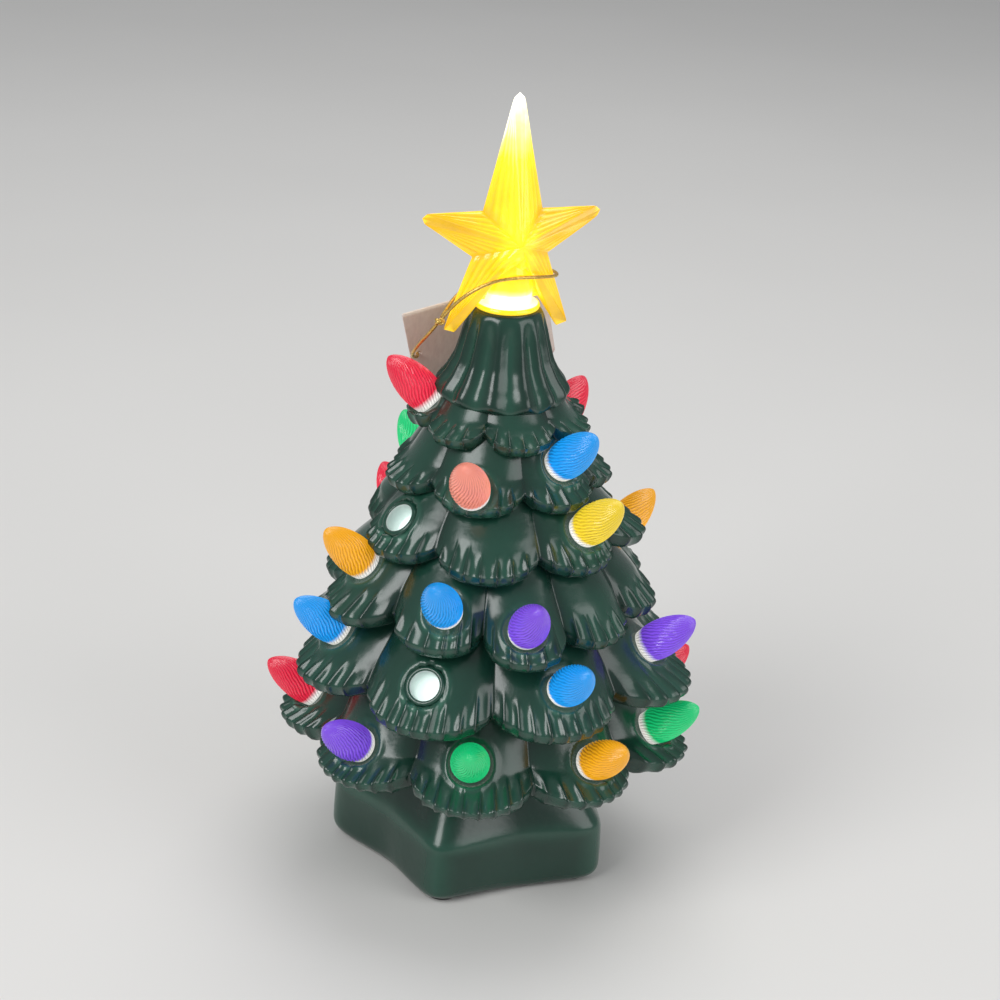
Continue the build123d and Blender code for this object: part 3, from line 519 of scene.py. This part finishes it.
for number, tier in enumerate(tiers, start=1):
    azimuths = tier.bulbs + tier.empty + tier.plain
    grid, outer_count, bough, across = tier_surface(number, azimuths)
    row = np.arange(len(grid))[:, None]
    fall = np.clip(row / outer_count, 0, 1)
    outside = row <= outer_count + 2

    # Needles: rounded ribs of uneven length that start part of the way down and droop over the lip.
    count = (across * 0.5 + 0.5) * needles_across(azimuths, tier.reach)[bough] + chance(bough, number) * 0.6
    needle = np.floor(count)
    round_top = 1 - np.abs(2 * (count - needle) - 1) ** 2.4
    start = 0.34 + 0.22 * chance(needle, bough, number)
    grown = ease(fall, start, start + 0.28) * outside
    keep = 1 - np.abs(across) ** 8
    height = (round_top - 0.55) * grown * keep * (0.9 + 0.5 * chance(needle, number, bough))
    crest = np.cos(across * math.pi / 2) * np.sin(math.pi * fall)
    raise_by = needle_relief * height + bough_swell * crest * outside
    grid = grid + surface_normals(grid) * raise_by[..., None]
    tip_row = np.exp(-((row - outer_count + 1) / 4.0) ** 2)
    grid[..., 2] -= needle_droop * round_top * keep * tip_row * (0.6 if number == 1 else 1.0)
    if number == 1:
        grid[..., 2] = np.maximum(grid[..., 2], tier.edge)

    # Sockets: a flat seat with a raised rim, and a hole where no bulb stands in it.
    rim = np.zeros(grid.shape[:2])
    for azimuth in tier.bulbs + tier.empty:
        out, high, _, side = about_socket(grid, number, azimuth)
        near = (np.abs(high) < socket_span) * outside
        seat_in = ease(-side, -seat_flat - 1.0, -seat_flat) * near
        raised = np.exp(-((side - rim_reach) / rim_width) ** 2) * near
        drop = np.maximum(high, 0.0) * seat_in - rim_height * raised
        grid = grid - out * drop[..., None]
        rim = np.maximum(rim, raised)
        if azimuth in tier.empty:
            sunk = hole_depth * ease(-side, -hole_reach - 0.1, -hole_reach) * near
            grid = grid - out * sunk[..., None]

    # Room for the bulbs of this tier and the one below: what is too near to a bulb's axis moves aside.
    for lower in range(max(1, number - 1), number + 1):
        for azimuth in tiers[lower - 1].bulbs:
            _, high, side_way, side = about_socket(grid, lower, azimuth)
            room = bulb_room * ease(high, 0.5, 2.0) * (1 - ease(high, 15.0, 19.0)) * outside
            push = np.maximum(room - side, 0) / np.maximum(side, 0.5)
            grid = grid + side_way * push[..., None]

    # Paler on needle ribs and socket rims where the glaze breaks thin. A painted highlight on the swell of
    # each bough, painted shade at the borders between boughs, and painted shade, darkest, on every row
    # under the lip and inside the tier.
    glaze_break_and_painted_light = 0.28 + 0.42 * height + 0.25 * rim + 0.15 * crest - 0.25 * np.abs(across) ** 6 * outside
    boughs = lattice(
        f"tree_tier_{number}",
        grid * mm,
        glaze,
        close_rows=True,
        values={"glaze_break_and_painted_light": glaze_break_and_painted_light * outside},
    )
    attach(boughs, "tree")
    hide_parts(f"shell_tier_{number}" if number < 5 else "shell_top")
    if tier.empty:
        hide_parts("socket_rim_low" if number == 2 else "socket_rim_high")


# Two sockets stand empty: the punched hole shows bare white slip, with lamplight behind it.
# The glaze stops in a small rolled edge round each hole.

bare_slip, tree, shader = new_finish("lit_slip", (0.6, 0.68, 0.65), 0.55)
mottle(tree, shader, grain(tree, 240.0, 3.0), (0.5, 0.6, 0.58), (0.62, 0.7, 0.67))
shader.inputs["Emission Color"].default_value = (0.88, 1.0, 0.96, 1.0)
tree.links.new(painted(tree, "along"), shader.inputs["Emission Strength"])
hole_h = np.array([-5.6, -5.6, -5.2, -3.0, -0.5, 0.1, 0.1, -3.0, -6.4, -6.4])
hole_r = np.array([0.02, 3.9, 4.3, 4.3, 4.32, 4.42, 4.6, 4.6, 4.6, 0.02])
hole_glow = np.array([0.7, 0.6, 0.35, 0.12, 0.02, 0.0, 0.0, 0.0, 0.0, 0.0])
edge_h = np.array([-0.3, 0.2, 0.42, 0.45, 0.3, -0.1, -1.5, -1.5])
edge_r = np.array([4.45, 4.5, 4.75, 5.2, 5.6, 5.95, 5.95, 4.45])
ring_turn = np.linspace(0, 2 * math.pi, 96, endpoint=False)[None, :]


def turned(number, azimuth, heights, reaches, spins):
    """A round shape about a socket's axis, from the heights, reaches and turns of its points."""
    middle, out = socket_frame(number, azimuth)
    turn = math.radians(azimuth)
    side = np.array([-math.sin(turn), math.cos(turn), 0.0])
    ring = side * np.cos(spins)[..., None] + np.cross(out, side) * np.sin(spins)[..., None]
    return middle + heights[..., None] * out + reaches[..., None] * ring


for label, number, azimuth in (("low", 2, 250.4), ("high", 4, 217.2)):
    hole_grid = turned(number, azimuth, hole_h[:, None], hole_r[:, None], ring_turn)
    hole = lattice(
        f"socket_{label}_hole",
        hole_grid * mm,
        bare_slip,
        flip=True,
        values={"along": hole_glow[:, None]},
    )
    edge_grid = turned(number, azimuth, edge_h[:, None], edge_r[:, None], ring_turn)
    rolled_edge = lattice(
        f"socket_{label}_edge",
        edge_grid * mm,
        glaze,
        close_rows=True,
        flip=True,
        values={"glaze_break_and_painted_light": 0.45},
    )
    for piece in (hole, rolled_edge):
        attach(piece, "tree")
        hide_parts(f"socket_rim_{label}")


# The crown above the top tier: upright needles drawn together round the hole that takes the star's stem.
# It is part of the same casting, with a rounded rim and the same glaze.

crown_top = 177.0
fine_turns = np.linspace(0, 2 * math.pi, 384, endpoint=False)
crown_levels = [
    (160.0, 7.3),
    (176.2, 7.3),
    (crown_top, 8.0),
    (crown_top, 9.4),
    (175.8, 10.7),
    (168.0, 12.2),
    (161.5, 14.0),
    (157.0, 16.4),
    (154.2, 18.6),
    (152.6, 19.4),
    (151.0, 18.6),
    (150.6, 15.0),
    (154.0, 11.0),
    (158.0, 8.5),
]
crown_counts = [8, 2, 3, 3, 10, 12, 10, 8, 5, 4, 3, 3, 3, 2]
bore_rows = range(8)
first_row, last_row, lip_row = 14, 66, 62
crown_needles = 15
pleat_depth = 1.35
crown_rings = [round_ring(z, r, fine_turns) for z, r in crown_levels]
crown_grid = soften(along_rings(crown_rings, crown_counts), 3, bore_rows)
level = np.arange(len(crown_grid))
on_crown = ((level > first_row) & (level < last_row))[:, None]
count = fine_turns / (2 * math.pi) * crown_needles + 0.3 * np.sin(fine_turns * 2)
round_top = 0.5 - 0.5 * np.cos(2 * math.pi * count)
grown = ease(level, first_row, first_row + 12)[:, None] * on_crown
length = 1 + 0.5 * chance(np.floor(count), 5)
pleat = (round_top - 0.5) * grown * pleat_depth
near_lip = np.exp(-((level - lip_row) / 5.0) ** 2)[:, None]
crown_grid = crown_grid + surface_normals(crown_grid) * pleat[..., None]
crown_grid[..., 2] -= 1.6 * round_top * length * near_lip
# Paler on the pleats where the glaze breaks thin. Off the pleated face the glaze is painted shade, darkest:
# in the bore, under the star's flange and under the hem.
crown = lattice(
    "tree_crown",
    crown_grid * mm,
    glaze,
    close_rows=True,
    flip=True,
    values={"glaze_break_and_painted_light": (0.3 + 0.3 * pleat) * on_crown},
)
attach(crown, "tree")
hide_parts("shell_top")


# The inside of the casting: bare white slip that spreads the lamp's light to every socket.
# It shows from below when the tree is lifted off its foot.

slip, tree, shader = new_finish("white_slip_painted_glow", (0.78, 0.76, 0.72), 0.75)
mottled = grain(tree, 90.0, 4.0)
mottle(tree, shader, mottled, (0.72, 0.7, 0.66), (0.84, 0.82, 0.78))
relief(tree, shader, mottled, 0.2, 0.0006)
# A faint warm emission on the lining: painted lamplight, so the slip glows as if lit from inside, though it
# is no lamp.
shader.inputs["Emission Color"].default_value = (1.0, 0.93, 0.8, 1.0)
shader.inputs["Emission Strength"].default_value = 0.35
lining_levels = [
    (46.2, 22.6),
    (46.4, 40.0),
    (56.0, 41.0),
    (72.0, 31.0),
    (94.0, 25.5),
    (114.0, 19.5),
    (131.0, 14.5),
    (148.0, 10.5),
    (160.0, 7.4),
]
lining_rings = [round_ring(z, r, fine_turns) for z, r in lining_levels]
lining_face = along_rings(lining_rings, [4] * 8 + [1])[:-1]
lining_back = lining_face[::-1] * np.array([1.02, 1.02, 1.0]) + np.array([0.0, 0.0, 0.3])
lining_grid = np.concatenate([lining_face, lining_back])
lining = lattice("tree_lining", lining_grid * mm, slip, close_rows=True, flip=True)
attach(lining, "tree")
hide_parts("shell_tier_1", "shell_tier_2", "shell_tier_3", "shell_tier_4", "shell_top")


# Push-in bulbs: flame-shaped, see-through plastic with wavy flutes that twist round, on a round peg.
# They are lit through the peg: white at the shoulder, deeper towards the tip and darker in the flutes.

bulb_colours = {
    "red": (0.8, 0.02, 0.06),
    "green": (0.01, 0.62, 0.2),
    "blue": (0.01, 0.34, 0.9),
    "orange": (0.93, 0.42, 0.01),
    "purple": (0.22, 0.08, 0.78),
    "yellow": (0.9, 0.66, 0.03),
    "pink": (0.93, 0.3, 0.22),
}
lamp_white = (1.0, 0.97, 0.92)
bulb_finish = {}
for name, colour in bulb_colours.items():
    plastic, tree, shader = new_finish("bulb_" + name, colour, 0.22)
    streak = grain(tree, 1.0, 2.0, stretch=(110.0, 2.5, 1.0), source="UV")
    far = scaled_sum(tree, streak, 0.06, painted(tree, "along"))
    pale = tuple(0.55 + 0.45 * v for v in colour)
    deep = tuple(0.66 * v for v in colour)
    shade = ramp(tree, far, [(0.09, lamp_white), (0.13, pale), (0.18, colour), (1.0, deep)])
    tree.links.new(shade, shader.inputs["Base Color"])
    tree.links.new(shade, shader.inputs["Emission Color"])
    lit = scaled_sum(tree, painted(tree, "groove"), -0.5, 0.6)
    tree.links.new(lit, shader.inputs["Emission Strength"])
    shader.inputs["Coat Weight"].default_value = 0.4
    shader.inputs["Coat Roughness"].default_value = 0.1
    relief(tree, shader, streak, 0.25, 0.0002)
    bulb_finish[name] = plastic

bulb_order = [
    ("red", "blue", "purple", "yellow", "red", "purple", "green", "orange", "green"),
    ("orange", "green", "blue", "blue", "purple"),
    ("orange", "purple", "green", "red", "orange", "blue", "purple"),
    ("blue", "green", "yellow"),
    ("red", "yellow", "pink", "blue"),
    ("red",),
]
bulb_length, bulb_radius, bulb_belly, bulb_shoulder = 18.5, 5.75, 5.5, 5.0
peg_length, peg_radius = 4.5, 4.3
flutes, flute_depth, twist_per_mm = 31, 0.34, 0.1
phi = np.linspace(0, 2 * math.pi, 186, endpoint=False)[None, :]
climb = np.linspace(0, 1, 42)[1:-1]
flank_h = bulb_length * (1 - (1 - climb) ** 1.25)
flank_q = np.clip((flank_h - bulb_belly) / (bulb_length - bulb_belly), 0, 1)
swelling = bulb_shoulder + (bulb_radius - bulb_shoulder) * np.sin(math.pi / 2 * flank_h / bulb_belly)
narrowing = bulb_radius * (1 - flank_q**1.9) ** 0.62
flank_r = np.where(flank_h < bulb_belly, swelling, narrowing)
peg_h = [-peg_length, -peg_length, -peg_length, -2.0, 0.0, 0.0]
peg_r = [0.02, 2.2, peg_radius, peg_radius, peg_radius, bulb_shoulder]
bulb_h = np.concatenate([peg_h, flank_h, [bulb_length - 0.05, bulb_length]])[:, None]
bulb_r = np.concatenate([peg_r, flank_r, [0.25, 0.02]])[:, None]
fluted = np.where(bulb_h > 0.2, bulb_r / bulb_radius, 0.0)
wave = 0.9 * np.sin(1.05 * bulb_h + 3 * phi) + 0.6 * np.sin(2.1 * bulb_h - 5 * phi)
groove = (0.5 + 0.5 * np.cos(flutes * phi + wave)) ** 1.5 * fluted
bulb_shape_r = bulb_r - flute_depth * groove
twist = twist_per_mm * np.clip(bulb_h, 0, None)
for number, (tier, names) in enumerate(zip(tiers, bulb_order), start=1):
    for k, (azimuth, name) in enumerate(zip(tier.bulbs, names), start=1):
        bulb_grid = turned(number, azimuth, bulb_h, bulb_shape_r, phi + twist + chance(number, k) * 2)
        bulb = lattice(
            f"bulb_{number}_{k}_flame",
            bulb_grid * mm,
            bulb_finish[name],
            values={"along": np.clip(bulb_h / bulb_length, 0, 1), "groove": groove},
            uv=(1.0, 1.0),
        )
        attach(bulb, "tree")
        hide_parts(f"bulb_{number}_{k}")


# The star topper: a hollow moulding in amber see-through plastic, ribbed along its arms, on a tube that
# drops into the crown. The tube carries the lamp's light up, so flange and tall point are the palest.

star_half = [
    (1.5, 60.6),
    (9.0, 28.6),
    (25.6, 28.3),
    (26.9, 27.2),
    (26.2, 25.6),
    (11.5, 15.2),
    (18.9, -6.0),
    (15.8, -7.0),
    (10.2, 2.4),
]
outline = np.array([(0.0, 62.0)] + star_half + [(-x, z) for x, z in reversed(star_half)])
yaw = math.radians(22.0)
star_turn = np.array([
    [math.cos(yaw), -math.sin(yaw), 0.0],
    [math.sin(yaw), math.cos(yaw), 0.0],
    [0.0, 0.0, 1.0],
])
star_middle, star_depth = 20.0, 9.0
rib_height = 0.6
cells = 26
# Edges of the outline whose ribs run to their first point; the ribs of the others run to the second.
ribs_to_first = {0, 1, 3, 4, 5, 7, 8, 11, 12, 14, 15, 16}
f_line = np.linspace(0, 1, cells + 1)
ff, gg = np.meshgrid(f_line, f_line, indexing="ij")
star_points, star_faces, star_rib, star_edge = [], [], [], []
for face_side in (-1, 1):
    apex = np.array([0.0, star_depth * face_side, star_middle])
    for k in range(len(outline)):
        first, second = outline[k], outline[(k + 1) % len(outline)]
        one = np.array([first[0], 0.0, first[1]])
        two = np.array([second[0], 0.0, second[1]])
        tip, notch = (one, two) if k in ribs_to_first else (two, one)
        base = apex + ff[..., None] * (notch - apex)
        grid = base * (1 - gg[..., None]) + gg[..., None] * tip
        lean = unit(np.cross(notch - apex, tip - apex))
        lean = lean if lean[1] * face_side > 0 else -lean
        span = np.linalg.norm(tip - notch)
        ribs = 5 if span > 12 else 2 if span > 5 else 0
        rib = np.abs(np.sin(math.pi * ribs * ff)) * ease(gg, 0.0, 0.12) * (1 - gg) ** 0.4
        edging = ease(ff, 0.9, 0.96) * ease(gg, 0.0, 0.1)
        grid = grid + lean * (rib_height * rib * (1 - edging))[..., None]
        first_id = sum(len(p) for p in star_points)
        ids = first_id + np.arange((cells + 1) ** 2).reshape(cells + 1, cells + 1)
        quads = np.stack([ids[:-1, :-1], ids[1:, :-1], ids[1:, 1:], ids[:-1, 1:]], -1).reshape(-1, 4)
        facing = np.cross(grid[1, 0] - grid[0, 0], grid[0, 1] - grid[0, 0])
        quads = quads if facing @ lean > 0 else quads[:, ::-1]
        star_points.append(grid.reshape(-1, 3))
        star_rib.append((rib * (1 - edging)).reshape(-1))
        star_edge.append(edging.reshape(-1))
        star_faces.append(quads)
star_points = np.concatenate(star_points)
star_rib = np.concatenate(star_rib)
star_edge = np.concatenate(star_edge)
star_faces = np.concatenate(star_faces)

# How brightly each point is lit: the stepped tube, the tall point and its root, the flange's hot spot,
# and a little more on ribs and borders.
lateral, height = np.abs(star_points[:, 0]), star_points[:, 2]
tube = np.exp(-(lateral / 5.5) ** 4) * ease(height, -2, 2) * (1 - ease(height, 27, 33))
steps = 0.5 + 0.5 * np.sin(height * 2.4)
point = ease(height, 34, 60)
hot = np.exp(-((height - 2.0) / 7.0) ** 2) * np.exp(-(lateral / 11.0) ** 2)
spike = ease(height, 26, 34) * np.exp(-(lateral / 6.0) ** 2)
star_glow = 0.14 + 0.3 * tube * (0.75 + 0.25 * steps) + 0.5 * point + 0.3 * hot + 0.22 * spike
star_glow = star_glow + 0.16 * star_rib + 0.2 * star_edge

amber, tree, shader = new_finish("amber_plastic", (0.85, 0.5, 0.01), 0.18)
cloud = grain(tree, 160.0, 3.0)
shade = ramp(
    tree,
    scaled_sum(tree, cloud, 0.22, painted(tree, "glow")),
    [
        (0.15, (0.46, 0.26, 0.004)),
        (0.4, (0.82, 0.53, 0.008)),
        (0.65, (1.0, 0.75, 0.02)),
        (0.86, (1.0, 0.9, 0.25)),
        (1.0, (1.0, 1.0, 0.9)),
    ],
)
tree.links.new(shade, shader.inputs["Base Color"])
tree.links.new(shade, shader.inputs["Emission Color"])
shader.inputs["Emission Strength"].default_value = 0.7
shader.inputs["Alpha"].default_value = 0.85
shader.inputs["Coat Weight"].default_value = 0.6
shader.inputs["Coat Roughness"].default_value = 0.08
relief(tree, shader, cloud, 0.15, 0.0005)

star_mesh = bpy.data.meshes.new("star_moulding")
star_world = star_points @ star_turn.T + np.array([0.0, 0.0, crown_top])
star_mesh.from_pydata((star_world * mm).tolist(), [], star_faces.tolist())
star_mesh.attributes.new("glow", "FLOAT", "POINT").data.foreach_set("value", star_glow.astype(np.float32))
star_mesh.materials.append(amber)
star = bpy.data.objects.new("star_moulding", star_mesh)
scene.collection.objects.link(star)
weld = star.modifiers.new("weld", "WELD")
weld.merge_threshold = 0.00002
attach(star, "star")
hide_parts("star_topper")

stem_levels = [
    (-9.0, 5.5),
    (-9.0, 6.6),
    (-8.4, 7.0),
    (-0.2, 7.0),
    (0.0, 8.6),
    (0.1, 9.3),
    (0.7, 9.5),
    (1.4, 9.2),
    (1.6, 8.4),
    (1.8, 7.2),
    (10.0, 6.6),
    (16.0, 5.2),
    (20.0, 3.4),
    (21.0, 1.0),
    (19.5, 1.0),
    (15.0, 3.8),
    (9.0, 5.2),
]
stem_counts = [1, 2, 6, 2, 2, 3, 3, 2, 2, 6, 6, 4, 2, 1, 4, 4, 12]
stem_rings = [round_ring(z + crown_top, r, fine_turns[::4]) for z, r in stem_levels]
stem_grid = along_rings(stem_rings, stem_counts)
stem_z = stem_grid[..., 2] - crown_top
stem_reach = np.hypot(stem_grid[..., 0], stem_grid[..., 1])
at_flange = ease(stem_z, 1.1, 1.7) * ease(-stem_reach, -9.4, -8.6) * (1 - ease(stem_z, 2.5, 8.0))
stem_glow = 0.38 + 0.75 * at_flange
stem = lattice("star_stem", stem_grid * mm, amber, close_rows=True, flip=True, values={"glow": stem_glow})
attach(stem, "star")
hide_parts("star_topper")


# The hang tag: a plain blank card with a punched hole, hanging behind the crown.
# It is uncoated stock with a faint fibre, slightly bowed.

tag_width, tag_height, tag_sheet = 44.0, 30.0, 0.6
tag_hole = np.array([-19.6, -0.5])
hole_radius = 0.62
swing, lean_back, roll = (math.radians(a) for a in (20.0, 15.0, 16.0))
level_way = np.array([math.cos(swing), math.sin(swing), 0.0])
tag_out = np.array([
    math.sin(swing) * math.cos(lean_back),
    -math.cos(swing) * math.cos(lean_back),
    -math.sin(lean_back),
])
up_way = np.cross(tag_out, level_way)
tag_x = level_way * math.cos(roll) + up_way * math.sin(roll)
tag_y = np.cross(tag_out, tag_x)
tag_middle = np.array([-7.6, 21.3, 160.6])
card_turn = np.linspace(0, 2 * math.pi, 240, endpoint=False)
ray = np.stack([np.cos(card_turn), np.sin(card_turn)], -1)
way_sign = np.where(ray < 0, -1.0, 1.0)
half_card = np.array([tag_width / 2, tag_height / 2])
out_to = ((half_card - way_sign * tag_hole) / np.maximum(np.abs(ray), 1e-9)).min(1)
spread = np.linspace(0, 1, 18)[:, None] ** 1.4
flat = tag_hole + ray[None] * (hole_radius + (out_to - hole_radius) * spread)[..., None]
front = np.concatenate([flat, np.full(flat.shape[:2] + (1,), tag_sheet / 2)], -1)
back = np.concatenate([flat, np.full(flat.shape[:2] + (1,), -tag_sheet / 2)], -1)[::-1]
card_grid = np.concatenate([front, back])
bow = 0.25 * np.cos(card_grid[..., :1] / tag_width * math.pi)
card_plane = tag_middle + card_grid[..., :1] * tag_x + card_grid[..., 1:2] * tag_y
card_world = card_plane + (card_grid[..., 2:] + bow) * tag_out

card, tree, shader = new_finish("tag_card", (0.78, 0.68, 0.6), 0.75)
fibre = grain(tree, 700.0, 5.0, stretch=(1.0, 1.0, 0.25))
mottle(tree, shader, fibre, (0.74, 0.63, 0.56), (0.84, 0.74, 0.66))
relief(tree, shader, fibre, 0.2, 0.0002)
tag = lattice("tag_blank_card", card_world * mm, card, close_rows=True)
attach(tag, "star")
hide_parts("hang_tag")


# The tag's cord: gold metal thread over elastic, 1 mm thick, from a small knot round the star and back.
# A second length runs from the knot down through the tag's hole.

gold, tree, shader = new_finish("gold_cord", (0.75, 0.48, 0.1), 0.32)
shader.inputs["Metallic"].default_value = 0.85
lay = grain(tree, 1600.0, 2.0)
mottle(tree, shader, lay, (0.5, 0.3, 0.05), (0.9, 0.62, 0.18))
relief(tree, shader, lay, 0.5, 0.0002)

knot_middle = np.array([-18.9, -7.9, 173.6])
knot_radius, knot_scale = 1.6, 0.37
thread_radius, pulled_radius = 0.5, 0.48
cord_loop = [
    (-15.4, -9.4, 179.0),
    (-10.8, -10.6, 183.6),
    (-4.6, -10.4, 187.2),
    (1.8, -8.8, 188.2),
    (8.2, -4.8, 187.6),
    (12.8, 0.4, 186.4),
    (14.3, 5.6, 185.6),
    (11.4, 9.6, 185.8),
    (5.0, 10.2, 186.0),
    (-1.8, 9.0, 185.2),
    (-8.4, 5.9, 183.0),
    (-13.6, 1.4, 180.0),
    (-16.9, -3.6, 177.0),
]
cord_tail = [(-22.0, -4.5, 168.3), (-24.6, -0.8, 164.0), (-26.6, 3.6, 159.6), (-27.0, 8.6, 156.4)]


def off_knot(point):
    """The spot on the knot's surface that faces a point: its radius from its middle, towards the point."""
    return tuple(knot_middle + unit(np.array(point) - knot_middle) * knot_radius)


def thread(name, route):
    """A smooth NURBS line that its control points lead, with a round section of the thread's radius."""
    line = bpy.data.curves.new(name, "CURVE")
    line.dimensions = "3D"
    spline = line.splines.new("NURBS")
    spline.points.add(len(route) - 1)
    for place, point in zip(spline.points, route):
        place.co = (*(c * mm for c in point), 1.0)
    spline.order_u = 3
    spline.use_endpoint_u = True
    spline.resolution_u = 8
    line.bevel_depth = thread_radius * mm
    line.bevel_resolution = 3
    line.use_fill_caps = True
    line.materials.append(gold)
    piece = bpy.data.objects.new(name, line)
    scene.collection.objects.link(piece)
    return piece


hole_middle = tag_middle + tag_hole[0] * tag_x + tag_hole[1] * tag_y
hole_front = hole_middle + 2.0 * tag_out
hole_back = hole_middle - 2.0 * tag_out
loop_route = [off_knot(cord_loop[0]), *cord_loop, off_knot(cord_loop[-1])]
tail_route = [off_knot(cord_tail[0]), *cord_tail, tuple(hole_front), tuple(hole_back)]
loop = thread("cord_loop_thread", loop_route)
tail = thread("cord_tail_thread", tail_route)

knot_turn = np.linspace(0, 2 * math.pi, 96, endpoint=False)
trefoil = np.stack(
    [
        (2 + np.cos(3 * knot_turn)) * np.cos(2 * knot_turn),
        (2 + np.cos(3 * knot_turn)) * np.sin(2 * knot_turn),
        1.2 * np.sin(3 * knot_turn),
    ],
    -1,
) * knot_scale
way = unit(np.roll(trefoil, -1, 0) - np.roll(trefoil, 1, 0))
aside = unit(np.cross(way, np.array([0.0, 0.0, 1.0])))
over = np.cross(way, aside)
section = np.linspace(0, 2 * math.pi, 10, endpoint=False)[None, :, None]
round_it = aside[:, None] * np.cos(section) + over[:, None] * np.sin(section)
tube_grid = trefoil[:, None] + pulled_radius * round_it
knot = lattice("cord_knot_twist", (tube_grid + knot_middle) * mm, gold, close_rows=True)
for piece, node in ((loop, "cord_loop"), (tail, "cord_tail"), (knot, "cord_knot")):
    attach(piece, "star")
    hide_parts(node)


# The studio: a plain pale floor, two large soft lamps in front and one above behind.
# The camera stands where the photograph was taken from, a little above the tree and rolled to one side.

def stand_at(right, up, ahead, place):
    """The matrix of something that looks ahead from a place, with its own right and up."""
    rows = [[right[i], up[i], -ahead[i], place[i]] for i in range(3)]
    return Matrix(rows + [[0.0, 0.0, 0.0, 1.0]])


paper, tree, shader = new_finish("floor_paper", (0.74, 0.73, 0.71), 0.6)
mottle(tree, shader, grain(tree, 3.0), (0.73, 0.72, 0.7), (0.76, 0.75, 0.73))
floor_mesh = bpy.data.meshes.new("studio_floor")
floor_mesh.from_pydata([(-6, -6, 0), (6, -6, 0), (6, 6, 0), (-6, 6, 0)], [], [(0, 1, 2, 3)])
floor_mesh.materials.append(paper)
floor = bpy.data.objects.new("studio_floor", floor_mesh)
scene.collection.objects.link(floor)

lamp_aim = np.array([0.0, 0.0, 0.1])
for name, place, size, power in (
    ("key", (-0.75, -0.75, 0.95), 0.7, 9.0),
    ("fill", (0.95, -0.55, 0.6), 0.8, 4.5),
    ("above", (0.1, 0.5, 1.2), 0.9, 6.0),
):
    lamp = bpy.data.lights.new(name, "AREA")
    lamp.size = size
    lamp.energy = power
    holder = bpy.data.objects.new(name, lamp)
    scene.collection.objects.link(holder)
    aim = unit(lamp_aim - np.array(place))
    across_way = unit(np.cross(aim, np.array([0.0, 0.0, 1.0])))
    holder.matrix_world = stand_at(across_way, np.cross(across_way, aim), aim, place)

world = bpy.data.worlds.new("studio")
world.use_nodes = True
sky = world.node_tree.nodes["Background"]
sky.inputs["Color"].default_value = (0.95, 0.97, 1.0, 1.0)
sky.inputs["Strength"].default_value = 0.35
scene.world = world

camera_dip, camera_roll = math.radians(23.64), math.radians(3.59)
camera_aim = np.array([0.00152, 0.0, 0.116])
camera_distance = 0.6562
ahead = np.array([0.0, math.cos(camera_dip), -math.sin(camera_dip)])
level_right = np.array([1.0, 0.0, 0.0])
level_up = np.cross(level_right, ahead)
right = level_right * math.cos(camera_roll) + level_up * math.sin(camera_roll)
upward = level_up * math.cos(camera_roll) - level_right * math.sin(camera_roll)
camera = bpy.data.cameras.new("view")
camera.lens = 79.2
camera.sensor_width = 36.0
eye = bpy.data.objects.new("view", camera)
scene.collection.objects.link(eye)
eye.matrix_world = stand_at(right, upward, ahead, camera_aim - ahead * camera_distance)
scene.camera = eye
